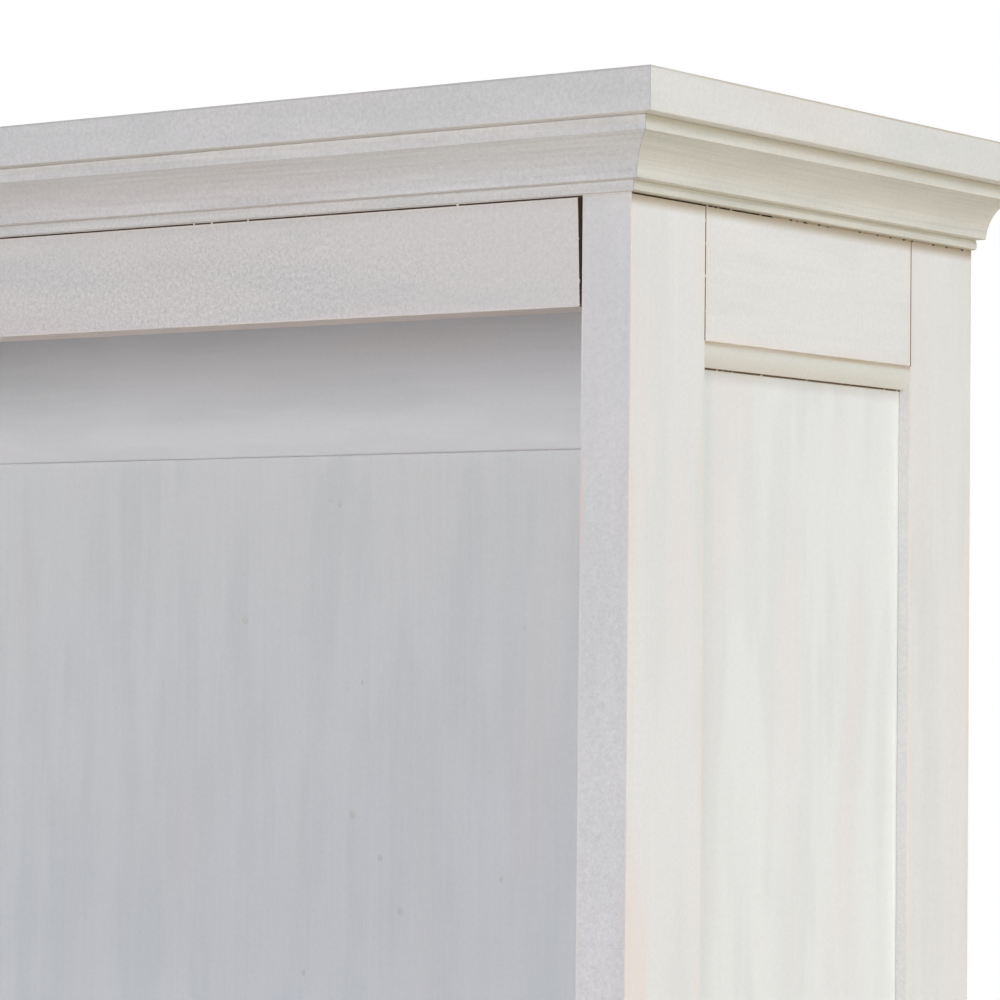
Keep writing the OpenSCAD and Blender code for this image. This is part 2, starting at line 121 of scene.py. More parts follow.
# %% [markdown]
# ## Levels and planes
# The frame tells where each piece is. A few planes are used again and again, so they are
# read once: the faces of the corner post, the top of the case, and the underside of the crown.

# %% Planes of the case
post_low, post_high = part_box("front_post_right")
rear_low, rear_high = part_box("rear_post_right")
half_width = post_high.x
inner_x = post_low.x
front_y, back_y = post_low.y, rear_high.y
case_top = post_high.z
crown_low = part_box("crown_moulding_front")[0]
lipping_low, lipping_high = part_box("top_lipping_front")
rail_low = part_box("side_top_rail_right")[0]
waist_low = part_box("side_waist_rail_right")[0]
panel_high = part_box("side_upper_panel_right")[1]
header_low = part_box("header_rail")[0]
BEAD_H = 18.5                  # mm, the height of the strip of bead in the corner of rail and panel
print("front", round(front_y, 4), "case top", round(case_top, 4), "crown", round(crown_low.z, 4))

# %% [markdown]
# ## Camera
# The photograph was taken with a long lens from the front right, a little below the crown.
# The lens and the angles come from the vanishing lines of the picture. The place comes from
# one point: a spot on the post's front arris, whose pixel and distance are known. The camera
# leans a little, so a plain look-at constraint wouldn't do, and the axes are set outright.

# %% Put the camera where the photographer stood
PICTURE = 1000                 # pixels across the frame
FOCAL = 3948.0                 # focal length in pixels
SENSOR = 36                    # mm
TURN, TILT, LEAN = (math.radians(a) for a in (36.32, 2.13, 0.57))
ARRIS_PIXEL = (630.84, 300.0)  # where the post's front arris crosses that row
ARRIS_DROP = 148.9 * MM        # height of that spot below the crown's top
ARRIS_SCALE = 1.5              # pixels for a millimetre there
ARRIS_DISTANCE = FOCAL / ARRIS_SCALE * MM

ahead = Vector((-math.sin(TURN), math.cos(TURN), 0))
right = Vector((math.cos(TURN), math.sin(TURN), 0))
forward = ahead * math.cos(TILT) + Vector((0, 0, math.sin(TILT)))
up = Vector((0, 0, math.cos(TILT))) - ahead * math.sin(TILT)
right, up = (
    right * math.cos(LEAN) + up * math.sin(LEAN),
    up * math.cos(LEAN) - right * math.sin(LEAN),
)
arris = Vector((half_width, front_y, cad_high.z - ARRIS_DROP))
offset = [(p - PICTURE / 2) / FOCAL * ARRIS_DISTANCE for p in ARRIS_PIXEL]
place = arris - forward * ARRIS_DISTANCE - right * offset[0] + up * offset[1]

camera_data = bpy.data.cameras.new("camera")
camera_data.sensor_width = SENSOR
camera_data.lens = FOCAL * SENSOR / PICTURE
camera_data.clip_start, camera_data.clip_end = 0.1, 200
camera = in_scene("camera", camera_data)
camera.matrix_world = Matrix((
    (right.x, up.x, -forward.x, place.x),
    (right.y, up.y, -forward.y, place.y),
    (right.z, up.z, -forward.z, place.z),
    (0, 0, 0, 1),
))
bpy.context.scene.camera = camera
bpy.context.scene.view_settings.view_transform = "Standard"
print("lens", round(camera_data.lens, 2), "camera at", [round(v, 3) for v in place])

# %% [markdown]
# ## A short way to write nodes
# Shader nodes can be placed one by one, but then a sum takes ten lines. Here a small class
# wraps a socket, so that sums are written as Python expressions, and each expression adds its
# Math nodes. All other nodes come from one method, which sets the node's settings first and
# its sockets after.

# %% Nodes from expressions
class Value:
    """A socket that can stand in a sum."""

    def __init__(self, nodes_of, socket):
        self.nodes_of, self.socket = nodes_of, socket

    def __add__(self, other):
        return self.nodes_of.maths("ADD", self, other)

    def __sub__(self, other):
        return self.nodes_of.maths("SUBTRACT", self, other)

    def __rsub__(self, other):
        return self.nodes_of.maths("SUBTRACT", other, self)

    def __mul__(self, other):
        return self.nodes_of.maths("MULTIPLY", self, other)

    def __abs__(self):
        return self.nodes_of.maths("ABSOLUTE", self)

    __radd__, __rmul__ = __add__, __mul__


class Nodes:
    """Adds nodes to a tree, for a material or for geometry."""

    def __init__(self, tree):
        self.tree = tree

    def node(self, kind, sockets=None, out=0, **settings):
        made = self.tree.nodes.new(kind)
        for key, value in settings.items():
            setattr(made, key, value)
        for key, value in (sockets or {}).items():
            if isinstance(value, Value):
                self.tree.links.new(value.socket, made.inputs[key])
            else:
                made.inputs[key].default_value = value
        return Value(self, made.outputs[out])

    def mix(self, share, first, second):
        first, second = (
            c if isinstance(c, Value) else (*c, 1) for c in (first, second)
        )
        return self.node("ShaderNodeMix", {0: share, 6: first, 7: second}, 2, data_type="RGBA")

    def maths(self, operation, *values):
        return self.node("ShaderNodeMath", dict(enumerate(values)), operation=operation)

    def vector(self, operation, *values, out=0):
        return self.node("ShaderNodeVectorMath", dict(enumerate(values)), out, operation=operation)

    def scaled(self, vector, factor):
        return self.node("ShaderNodeVectorMath", {0: vector, "Scale": factor}, operation="SCALE")

    def split(self, vector):
        made = self.tree.nodes.new("ShaderNodeSeparateXYZ")
        self.tree.links.new(vector.socket, made.inputs[0])
        return [Value(self, s) for s in made.outputs]


# %% [markdown]
# ## Shader words for this cabinet
# A finish needs the same few things again and again: where the point is, a soft noise of some
# size, a step between two values, and a mix of two colours. They read Object coordinates,
# which are metres here, because every piece sits at the origin with its place in its mesh.

# %% A material that knows its piece
class Finish(Nodes):
    """One material. What changes over a surface goes into the shader's own sockets."""

    def __init__(self, name, **constants):
        self.material = bpy.data.materials.new(name)
        self.material.use_nodes = True
        tree = self.material.node_tree
        super().__init__(tree)
        tree.nodes.clear()
        self.shader = tree.nodes.new("ShaderNodeBsdfPrincipled")
        output = tree.nodes.new("ShaderNodeOutputMaterial")
        tree.links.new(self.shader.outputs[0], output.inputs[0])
        for key, value in constants.items():
            self.shader.inputs[key.replace("_", " ")].default_value = value
        self.point = self.node("ShaderNodeTexCoord", out=3)

    def attribute(self, name, out=1):
        return self.node("ShaderNodeAttribute", out=out, attribute_name=name)

    def noise(self, at, size, detail=2.0, rough=0.5):
        """A noise with spots of about this size in metres, from 0 to 1 about 0.5."""
        return self.node("ShaderNodeTexNoise", {
            "Vector": at, "Scale": 1 / size, "Detail": detail, "Roughness": rough,
        })

    def between(self, value, low, high, start=0.0, end=1.0):
        """start below low, end above high, and a smooth step between them."""
        return self.node("ShaderNodeMapRange", {
            "Value": value, "From Min": low, "From Max": high, "To Min": start, "To Max": end,
        }, interpolation_type="SMOOTHSTEP")

    def feed(self, key, value):
        self.tree.links.new(value.socket, self.shader.inputs[key])

    def bump(self, height, strength, distance):
        self.feed("Normal", self.node("ShaderNodeBump", {
            "Strength": strength, "Distance": distance, "Height": height,
        }))


# %% [markdown]
# ## The studio
# The picture has a plain white ground. The light is soft: a wide light ahead of the open
# front, and a stronger and cooler one high on the right. A low one on the right is warm, like
# light that comes back from a floor. Weak ones overhead and behind keep the top and the back
# from going dark. A sky alone would light both sides alike and flatten the crown. The floor
# is pale close to the cabinet and turns white further out, so that no edge of it shows.

# %% Floor and sky
FLOOR_RADIUS = 30.0
FLOOR_FADE = (2.5, 7.0)        # metres out between which the floor turns white
FLOOR_GLOW = 0.5               # it shines by itself by this share, or it would look grey
FLOOR_PALE = (0.9, 0.89, 0.84)
BOUNCE = (0.56, 0.50, 0.43)    # what the floor sends back up to the cabinet
SKY = (0.25, 0.245, 0.32)      # light of the room

bm = bmesh.new()
bmesh.ops.create_circle(bm, cap_ends=True, segments=96, radius=FLOOR_RADIUS)
floor = in_scene("floor", to_mesh(bm, "floor"))
floor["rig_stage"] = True

ground = Finish("pale_floor", Roughness=0.9)
far_out = ground.between(ground.vector("LENGTH", ground.point, out=1), *FLOOR_FADE)
seen = ground.node("ShaderNodeLightPath")
far_out = ground.maths("MAXIMUM", far_out, FLOOR_GLOW * seen)
ground.feed("Base Color", ground.mix(seen, BOUNCE, FLOOR_PALE))
glow = ground.mix(seen, (0, 0, 0), (1, 1, 1))
glow = ground.node("ShaderNodeEmission", {"Color": glow, "Strength": 1.0})
matt = Value(ground, ground.shader.outputs[0])
blend = ground.node("ShaderNodeMixShader", {0: far_out, 1: matt, 2: glow})
ground.tree.links.new(blend.socket, ground.tree.nodes["Material Output"].inputs[0])
floor.data.materials.append(ground.material)

world = bpy.data.worlds.new("room")
bpy.context.scene.world = world
world.use_nodes = True
sky = Nodes(world.node_tree)
sky.tree.nodes.clear()
seen = sky.node("ShaderNodeLightPath")
background = sky.node("ShaderNodeBackground", {"Color": sky.mix(seen, SKY, (1, 1, 1))})
sky.tree.links.new(background.socket, sky.tree.nodes.new("ShaderNodeOutputWorld").inputs[0])
print("floor", FLOOR_RADIUS, "m, sky", SKY)


# %% Soft lights
def soft_light(name, at, aim, size, power, colour):
    data = bpy.data.lights.new(name, "AREA")
    data.shape, data.size, data.size_y = "RECTANGLE", *size
    data.energy, data.color = power, colour
    light = in_scene(name, data)
    light.location = at
    light.rotation_euler = (Vector(aim) - Vector(at)).to_track_quat("-Z", "Y").to_euler()


soft_light("front_light", (1.3, -5.6, 1.68), (0, 0, 1.6), (4.0, 1.4), 161, (0.99, 0.995, 0.99))
soft_light("top_light", (0.0, 0.0, 6.5), (0, 0, 0), (4.0, 4.0), 30, (1.0, 0.99, 0.96))
soft_light("side_light", (8.5, 0.4, 5.4), (0.4, 0, 1.3), (4.5, 3.6), 296, (0.87, 0.92, 0.985))
soft_light("side_fill", (4.2, 0.0, 0.05), (0.5, 0, 1.7), (2.6, 2.6), 125, (1.0, 0.945, 0.72))
soft_light("back_light", (-5.0, 5.5, 3.0), (0, 0, 1.0), (4.0, 4.0), 380, (1.0, 0.98, 0.90))
print("lights", len(bpy.data.lights))

# %% [markdown]
# ## Whitewash
# The real finish is a thin white paint, brushed along the grain over a brown ground. It is
# never one colour: broad grey and rosy bands run with the grain, a fine stipple covers
# everything, bristles leave streaks, and the arrises are rubbed to a cream or a brown. A
# picture could be painted for each piece, but noises in metres need no picture and fit all.
#
# Each piece carries a few values for its finish as attributes: the box of its shown part, so
# that the finish knows how far a point is from the nearest arris; the direction of its grain;
# a seed; how strong the bands, stipple and streaks are; and tints for its batch of paint and
# for painted light and shade. Others say where hands have rubbed it, where a nearly dry brush
# went over it once more, at which levels dust and painted shade lie under a ledge, and how much
# painted light its underside gets.

# %% Colours of the paint, of what shows through it, and of painted light and shade
PALE, GREY, ROSY = (0.765, 0.765, 0.755), (0.73, 0.74, 0.73), (0.765, 0.735, 0.725)
# The paint inside is the same paint made bluer and a little brighter: painted light and shade of the
# shaded inside. Its rubbed arrises are a darker grey, wear and painted shade, and its joints a darker
# grey still, painted shade such as the line under the back rail.
INSIDE_SHADED_PALE, INSIDE_SHADED_GREY = (0.775, 0.80, 0.805), (0.745, 0.775, 0.78)
INSIDE_SHADED_ROSY = (0.785, 0.79, 0.785)
INSIDE_WORN_SHADE, INSIDE_JOINT_SHADE = (0.60, 0.59, 0.60), (0.55, 0.54, 0.55)
CREAM = (0.80, 0.685, 0.585)   # paint rubbed thin on an arris
FRONT_WORN_HIGHLIGHT = (0.90, 0.82, 0.78)        # in front a rubbed arris is lighter: wear and a painted highlight
PEACH = (0.79, 0.70, 0.655)    # patches where hands rub
GLAZE_AND_SHADE = (0.53, 0.455, 0.355)   # painted shade in a corner, warm and yellow like old glazing
GREY_GLAZE_AND_SHADE = (0.46, 0.43, 0.40)        # the same in front, where it is greyer
SOFFIT_LIGHT = (0.94, 0.885, 0.85)   # painted light on undersides, a warm cream
BROWN = (0.17, 0.11, 0.075)    # grime and bare wood in a joint
DUST_AND_SHADE = (0.36, 0.29, 0.20)      # dust and painted shade on the sides just under a ledge

# %% Sizes of the marks in the paint, in metres
BAND, HUE, CLOUD = 0.030, 0.055, 0.09  # bands and hues along the grain, and clouds across it
STIPPLE, STREAK = 0.0030, 0.0035       # dots of the brush, and lines of its bristles
RAGGED = 0.0022                # how far the wear on an arris wanders
WEAR_SPOT, PATCH_SPOT, JOINT_SPOT = 0.006, 0.014, 0.004        # at the rims of wear, patches and joint marks
LEDGE_DUST_AND_SHADE = (                 # the share of dust and painted shade, and from where to where it fades
    (0.85, 0.0020, 0.0105),    # under the crown, or under a strip of bead
    (0.40, 0.0005, 0.0085),    # under the top's lipping
)

# %% Steps: where a mark begins and ends, and how strong it is at both, if not 0 and 1
GREY_STEP, ROSY_STEP = (0.44, 0.66), (0.50, 0.72, 0, 0.8)
RUBBED = (0.0002, 0.0021, 1, 0)        # metres from an arris, of its wear
HANDLED = (0, 0.010, 0.45, 0)  # the same, of the fainter wear on the sides
CORNER_STEP = (0.8, 1.2, 0.2, 0.7)     # of the wear on a moulding's corners
THIN_STEP = (0.3, 0.6, 0.15, 0.6)      # of all wear
GLAZE_AND_SHADE_STEP, JOINT_STEP = (0.25, 0.6, 0.3, 0.8), (0.30, 0.36)
PATCH_STEP = (0.35, 1.0, 1, 0)         # of a patch, in shares of its half size
PATCH_RAGGED = 0.9             # how far a patch's rim wanders, in the same shares
UNDERSIDE = (0.95, 0.995)      # how straight down a face must look to be an underside

# %% Strengths of the marks, where pairs are for a face in front and for one on the side
BOX_WEAR, RULE_WEAR = (0.9, 0.6), (0.2, 1.0)   # on the arrises of boxes, and on mouldings
GLAZE_AND_SHADE_SHARE, DUST_AND_SHADE_SHARE = (0.6, 1.0), (0.1, 1.0)
STIPPLE_SHARE, STIPPLE_FRONT = 0.42, 0.36      # everywhere, and what comes on top of it in front
BAND_DEPTH, STIPPLE_DEPTH, STREAK_DEPTH = 0.03, 0.39, 0.05     # how much each changes the brightness
BAND_RISE, STIPPLE_RISE, STREAK_RISE = 0.5, 0.6, 0.8   # and how much each stands out
CLOUD_SHIFT = 0.4              # how much the clouds shift the bands
ROUGHNESS, STREAK_ROUGH, CLOUD_ROUGH = 0.72, 0.3, 0.15
COAT_BUMP = (0.35, 0.0004)     # strength, and height in metres
SEED_WAY = (0.7, 1.3, 0.4)     # metres by which a seed of 1 moves the noises


def median(a, b, c):
    """The middle one of three values, in a shader."""
    low, high = a.nodes_of.maths("MINIMUM", a, b), a.nodes_of.maths("MAXIMUM", a, b)
    inner = a.nodes_of.maths("MINIMUM", high, c)
    return a.nodes_of.maths("MAXIMUM", low, inner)


def arris_distance(finish):
    """Metres from a point on a box-shaped piece to the nearest arris."""
    below = finish.vector("SUBTRACT", finish.point, finish.attribute("box_low"))
    above = finish.vector("SUBTRACT", finish.attribute("box_high"), finish.point)
    near = finish.vector("MINIMUM", below, above)
    return median(*(abs(v) for v in finish.split(near)))


def patch(finish, place, along):
    """How much hands have rubbed a spot: an egg-shaped patch with a brushed rim."""
    away = finish.vector("SUBTRACT", finish.point, finish.attribute(place))
    away = finish.vector("DIVIDE", away, finish.attribute(place + "_size"))
    wander = PATCH_RAGGED * (finish.noise(along, PATCH_SPOT, 3.0) - 0.5)
    rim = finish.vector("LENGTH", away, out=1) + wander
    return finish.attribute(place + "_share", out=2) * finish.between(rim, *PATCH_STEP)


def brushed_paint(name, pale, grey, rosy, worn=CREAM, front_wear_and_highlight=FRONT_WORN_HIGHLIGHT, grime_and_shade=BROWN):
    paint = Finish(name, Specular_IOR_Level=0.3)
    shift = paint.scaled(SEED_WAY, paint.attribute("seed", out=2))
    spot = paint.vector("ADD", paint.point, shift)
    along = paint.vector("MULTIPLY", spot, paint.attribute("grain"))
    fine = paint.vector("MULTIPLY", along, paint.attribute("grain"))
    band_share, stipple_share, streak_share = paint.split(paint.attribute("paint"))
    normal = paint.split(paint.node("ShaderNodeNewGeometry", out=1))
    sideways, facing = abs(normal[0]), abs(normal[1])

    def by_way(front, side):
        """A strength that goes from its value in front to its value on the side."""
        return front + (side - front) * sideways

    # The coat: bands and hues, painted light on an underside, and the marks of the brush.
    band = paint.noise(along, BAND)
    hue = paint.noise(along, HUE)
    cloud = paint.noise(spot, CLOUD, 1.0)
    stipple = paint.noise(spot, STIPPLE, 2.0, 1.0)
    streak = paint.noise(fine, STREAK)
    stipple_share = stipple_share * (STIPPLE_SHARE + STIPPLE_FRONT * facing)
    stipple_share = stipple_share * (1 + patch(paint, "mottle", along))
    underside_lit = paint.between(0 - normal[2], *UNDERSIDE)
    colour = paint.mix(paint.between(band + CLOUD_SHIFT * (cloud - 0.5), *GREY_STEP), pale, grey)
    colour = paint.mix(paint.between(hue, *ROSY_STEP), colour, rosy)
    colour = paint.mix(underside_lit * paint.attribute("underside_light_share", out=2), colour, SOFFIT_LIGHT)
    light = (
        1 + BAND_DEPTH * band_share * (0.5 - band)
        + STIPPLE_DEPTH * stipple_share * (stipple - 0.5)
        + STREAK_DEPTH * streak_share * (streak - 0.5)
    )
    # The tints are the batch of paint, and also painted light and shade of each piece.
    tinted_and_shaded = paint.scaled(paint.vector("MULTIPLY", colour, paint.attribute("tint_and_shade")), light)

    # Wear: on a box's arrises, on a moulding's corners, and fainter and wider on the sides.
    edge = arris_distance(paint)
    ragged = edge + RAGGED * (paint.noise(fine, WEAR_SPOT) - 0.5)
    by_box = paint.between(ragged, *RUBBED) * by_way(*BOX_WEAR)
    by_rule = paint.between(streak + stipple, *CORNER_STEP) * by_way(*RULE_WEAR)
    by_rule = paint.attribute("worn", out=2) * by_rule
    wide = paint.between(edge, *HANDLED) * sideways
    rubbed = paint.maths("MAXIMUM", paint.maths("MAXIMUM", by_box, by_rule), wide)
    thin = paint.between(cloud, *THIN_STEP)
    # In front the rubbed arris is lighter: wear and a painted highlight.
    colour = paint.mix(rubbed * thin, tinted_and_shaded, paint.mix(facing, worn, front_wear_and_highlight))
    for place in ("rub_a", "rub_b"):
        colour = paint.mix(patch(paint, place, along), colour, PEACH)

    # Painted shade in a corner, dust and painted shade under a ledge, and grime in a joint, which
    # inside the case is painted shade.
    glaze_and_shade = paint.attribute("glaze_and_shade", out=2) * paint.between(streak, *GLAZE_AND_SHADE_STEP)
    glaze_and_shade = glaze_and_shade * by_way(*GLAZE_AND_SHADE_SHARE)
    colour = paint.mix(glaze_and_shade, colour, paint.mix(sideways, GREY_GLAZE_AND_SHADE, GLAZE_AND_SHADE))
    *shaded_ledges, dust_and_shade = paint.split(paint.attribute("shaded_ledges"))
    for ledge, (share, fade, clear) in zip(shaded_ledges, LEDGE_DUST_AND_SHADE):
        depth = ledge - paint.split(paint.point)[2]
        under = paint.between(depth, -MM, 0) * paint.between(depth, fade, clear, share, 0)
        colour = paint.mix(under * dust_and_shade * by_way(*DUST_AND_SHADE_SHARE), colour, DUST_AND_SHADE)
    joint_spots = paint.between(paint.noise(spot, JOINT_SPOT), *JOINT_STEP)
    joint = paint.attribute("joint", out=2) * joint_spots
    colour = paint.mix(joint, colour, grime_and_shade)

    paint.feed("Base Color", colour)
    paint.feed("Roughness", (
        ROUGHNESS + STREAK_ROUGH * (streak - 0.5) + CLOUD_ROUGH * (cloud - 0.5)
    ))
    paint.bump((
        STIPPLE_RISE * stipple_share * stipple
        + STREAK_RISE * streak_share * streak
        + BAND_RISE * band
    ), *COAT_BUMP)
    return paint.material


whitewash = brushed_paint("whitewash", PALE, GREY, ROSY)
inside_whitewash = brushed_paint(
    "inside_whitewash", INSIDE_SHADED_PALE, INSIDE_SHADED_GREY, INSIDE_SHADED_ROSY,
    INSIDE_WORN_SHADE, INSIDE_WORN_SHADE, INSIDE_JOINT_SHADE,
)
print("paints", whitewash.name, inside_whitewash.name)

# %% [markdown]
# ## Bare wood
# The cleats and the frame inside the crown are never painted. Sawn softwood shows rings cut
# lengthwise: bands that run with the grain and waver. A wave texture gives bands that are too
# even, so two noises drawn out along the grain make them.

# %% Sawn wood
RING, RING_WAVER = 0.004, 0.03         # metres
RING_STEP = (0.35, 0.65)
RING_BUMP = (0.4, 0.0004)      # strength, and height in metres


def sawn_wood(name, light, dark):
    wood = Finish(name, Roughness=0.8, Specular_IOR_Level=0.25)
    along = wood.vector("MULTIPLY", wood.point, wood.attribute("grain"))
    waver = wood.noise(along, RING_WAVER, 3.0)
    ring = wood.noise(along, RING, 3.0, 0.7)
    colour = wood.mix(wood.between(ring + 0.5 * (waver - 0.5), *RING_STEP), light, dark)
    wood.feed("Base Color", wood.mix(wood.attribute("joint", out=2), colour, BROWN))
    wood.bump(ring, *RING_BUMP)
    return wood.material


bare_wood = sawn_wood("bare_wood", (0.58, 0.43, 0.29), (0.40, 0.27, 0.16))

# %% [markdown]
# ## Metal and plastic
# The knobs and hinges are dark bronze, worn brighter in blotches. The shelf pins and strikes
# are plated steel with a fine grain. The glides are black nylon, and the catches are pale.

# %% Hardware finishes
BLOTCH, BLOTCH_STEP = 0.009, (0.5, 0.68)       # size in metres, and where worn blotches begin
METAL_BUMP = (0.2, 0.0001)


def hardware(name, colour, worn, metallic, roughness, grain):
    metal = Finish(name, Metallic=metallic)
    blotch = metal.noise(metal.point, BLOTCH, 3.0)
    fine = metal.noise(metal.point, grain, 2.0, 0.7)
    share = metal.between(blotch + 0.3 * (fine - 0.5), *BLOTCH_STEP)
    metal.feed("Base Color", metal.mix(share, colour, worn))
    metal.feed("Roughness", roughness + 0.25 * (fine - 0.5))
    metal.bump(fine, *METAL_BUMP)
    return metal.material


HARDWARE = {                   # colour, worn colour, metallic, roughness, and size of the grain
    "dark_bronze": ((0.055, 0.040, 0.030), (0.20, 0.13, 0.075), 0.85, 0.42, 0.0012),
    "steel": ((0.55, 0.54, 0.52), (0.42, 0.41, 0.39), 0.95, 0.32, 0.0008),
    "glide_plastic": ((0.018, 0.018, 0.02), (0.05, 0.05, 0.05), 0.0, 0.5, 0.0015),
    "catch_plastic": ((0.70, 0.69, 0.65), (0.62, 0.60, 0.55), 0.0, 0.45, 0.0015),
}
finish_of = {
    "whitewash": whitewash, "inside_whitewash": inside_whitewash, "bare_wood": bare_wood,
    **{name: hardware(name, *look) for name, look in HARDWARE.items()},
}
slot_of = {p["node"]: p["material_slot"] for p in frame["record"]["subparts"]}
print("finishes", sorted(finish_of))

# %% [markdown]
# ## Eased edges
# No hand leaves an arris sharp. Each wooden piece is copied from its CAD solid, its loose
# triangles are joined to flat faces again, and its arrises get a small bevel. An arris that
# lies against another piece gets its own smaller bevel: the two make the fine V of a joint,
# which catches grime, so those faces are marked for the paint; inside the case that mark is
# painted shade. A Bevel modifier would treat all arrises alike, so the edges are picked in code.

# %% All solids in one search tree, to find which arrises touch another piece
points, faces, owner = [], [], []
for name, solid in nodes.items():
    start = len(points)
    points += [v.co.copy() for v in solid.data.vertices]
    for polygon in solid.data.polygons:
        faces.append([start + i for i in polygon.vertices])
        owner.append(name)
all_solids = BVHTree.FromPolygons(points, faces)
print("faces in the search tree", len(faces))


def touches(name, spot):
    """True where another piece's surface is within reach of the spot. Beads make no V joint."""
    near = all_solids.find_nearest_range(spot, JOINT_REACH)
    return any(owner[i] not in (name, "side_beads") for _, _, i, _ in near)


# %% Copy a solid and ease its arrises
WELD = 5e-6                    # metres between corners that are one corner
LEVEL = 0.1 * MM               # metres between levels that are one level
FREE_EASE, JOINT_EASE, GAP_EASE = 0.9 * MM, 0.6 * MM, 0.15 * MM
OPEN_JOINTS = {"back_top_rail": 1.3 * MM}      # the panel under this rail has shrunk away from it
GAP, JOINT, FREE = 1, 2, 3     # what an arris faces; they are eased in this order
JOINT_REACH = 1.8 * MM         # the open joint under the crown counts as a joint too
IN_PLANE = 2.5 * MM            # a rail's shoulder slopes by less than this
END_SLOPE = 3 * MM             # what lies closer to a rail's end is its shoulder or its tenon
SHARP, SHORTEST = math.radians(25), 6 * MM     # what is less than this isn't an arris
COPLANAR = math.radians(0.4)   # triangles that differ by less are one face
SPOTS, MOST = (0.2, 0.4, 0.6, 0.8), 3          # along an arris, and how many must touch
SMOOTH_BELOW = math.radians(35)
HIDDEN_RISERS = ("crown_riser_front", "crown_riser_left", "crown_riser_right")


def welded(name):
    """A copy of a solid whose triangles share their corners."""
    bm = bmesh.new()
    bm.from_mesh(nodes[name].data)
    bmesh.ops.remove_doubles(bm, verts=bm.verts, dist=WELD)
    return bm


def shown_box(bm):
    """The box of a rail without its tenons: the biggest face gives two directions."""
    low = Vector(min(v.co[i] for v in bm.verts) for i in range(3))
    high = Vector(max(v.co[i] for v in bm.verts) for i in range(3))
    face = max(bm.faces, key=lambda f: f.calc_area())
    flat = max(range(3), key=lambda i: abs(face.normal[i]))
    for i in range(3):
        if i != flat:
            low[i] = min(v.co[i] for v in face.verts)
            high[i] = max(v.co[i] for v in face.verts)
    return low, high


def on_box(edge, low, high):
    """How many planes of the box the edge lies in."""
    a, b = (v.co for v in edge.verts)
    return sum(
        max(abs(a[i] - level), abs(b[i] - level), abs(a[i] - b[i])) < IN_PLANE
        for i in range(3) for level in (low[i], high[i])
    )


def is_arris(edge):
    return edge.is_manifold and edge.calc_face_angle() > SHARP


def ease(bm, edges, width):
    made = bmesh.ops.bevel(
        bm, geom=edges, offset=width, segments=2, profile=0.5, affect="EDGES", clamp_overlap=True
    )
    for face in made["faces"]:
        face[bm.faces.layers.int["round"]] = 1
    return made["faces"]


def eased(name, levels=()):
    """The eased copy and its shown box. At the given levels its arrises are cut in two."""
    bm = welded(name)
    bmesh.ops.dissolve_limit(bm, angle_limit=COPLANAR, verts=bm.verts, edges=bm.edges)
    low, high = shown_box(bm)
    for level in levels:
        whole = bm.verts[:] + bm.edges[:] + bm.faces[:]
        bmesh.ops.bisect_plane(bm, geom=whole, plane_co=(0, 0, level), plane_no=(0, 0, 1))
    bm.faces.layers.int.new("round")
    joint = bm.faces.layers.float.new("joint")
    plan = bm.edges.layers.int.new("plan")     # a bevel remakes its neighbours, and a layer lasts
    picked = [
        e for e in bm.edges
        if is_arris(e) and e.is_convex and e.calc_length() > SHORTEST and on_box(e, low, high) >= 2
    ]
    for e in picked:
        a, b = (v.co for v in e.verts)
        near = sum(touches(name, a.lerp(b, t)) for t in SPOTS)
        at_top = min(a.z, b.z) > case_top - LEVEL and near
        e[plan] = GAP if at_top else JOINT if near >= MOST else FREE
    widths = {GAP: GAP_EASE, JOINT: OPEN_JOINTS.get(name, JOINT_EASE), FREE: FREE_EASE}
    for kind, width in widths.items():
        edges = [e for e in bm.edges if e[plan] == kind and is_arris(e)]
        for f in ease(bm, edges, width) if edges else ():
            f[joint] = float(kind == JOINT)
    long_way = max(range(3), key=lambda i: high[i] - low[i])
    for f in bm.faces:             # tenons, shoulders and what lies under the crown are bare
        ends = [v.co[long_way] for v in f.verts]
        past = min(ends) > high[long_way] - END_SLOPE or max(ends) < low[long_way] + END_SLOPE
        at_top = all(abs(v.co.z - case_top) < LEVEL for v in f.verts)
        if ("rail" in name and past) or at_top or name in HIDDEN_RISERS:
            f[joint] = 1
    return bm, low, high


# %% Shading normals
SAME_SIDE = math.radians(50)   # a flat face gives its normal to a round one within this angle


def shade(mesh):
    """Flat faces stay flat, and the round faces between them take their normals at the rims."""
    mesh.shade_smooth()
    rounded = [bool(value.value) for value in mesh.attributes["round"].data]
    flat, bent = defaultdict(list), defaultdict(Vector)
    for p in mesh.polygons:
        for v in p.vertices:
            if rounded[p.index]:
                bent[v] += p.normal
            else:
                flat[v].append(p.normal.copy())
    corners = []
    for p in mesh.polygons:
        for v in p.vertices:
            normal = p.normal
            if rounded[p.index]:
                near = [n for n in flat[v] if n.angle(normal) < SAME_SIDE]
                normal = near[0] if near else bent[v].normalized()
            corners.append(normal)
    mesh.normals_split_custom_set(corners)


# %% Pieces, and the values that their finish reads
def write(mesh, key, values, domain="POINT"):
    """One attribute, from a number or a vector for each point or face."""
    if isinstance(values[0], (int, float)):
        data = mesh.attributes.new(key, "FLOAT", domain).data
        data.foreach_set("value", [float(v) for v in values])
    else:
        data = mesh.attributes.new(key, "FLOAT_VECTOR", domain).data
        data.foreach_set("vector", [c for v in values for c in v])


def mark(mesh, values):
    """Each value goes to all points of the mesh."""
    for key, value in values.items():
        write(mesh, key, [value] * len(mesh.vertices))


def add_piece(mesh, name, body, finish, *replaced):
    mesh.materials.clear()
    mesh.materials.append(finish_of[finish])
    piece = in_scene(name, mesh)
    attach(piece, body)
    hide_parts(*replaced)
    return piece


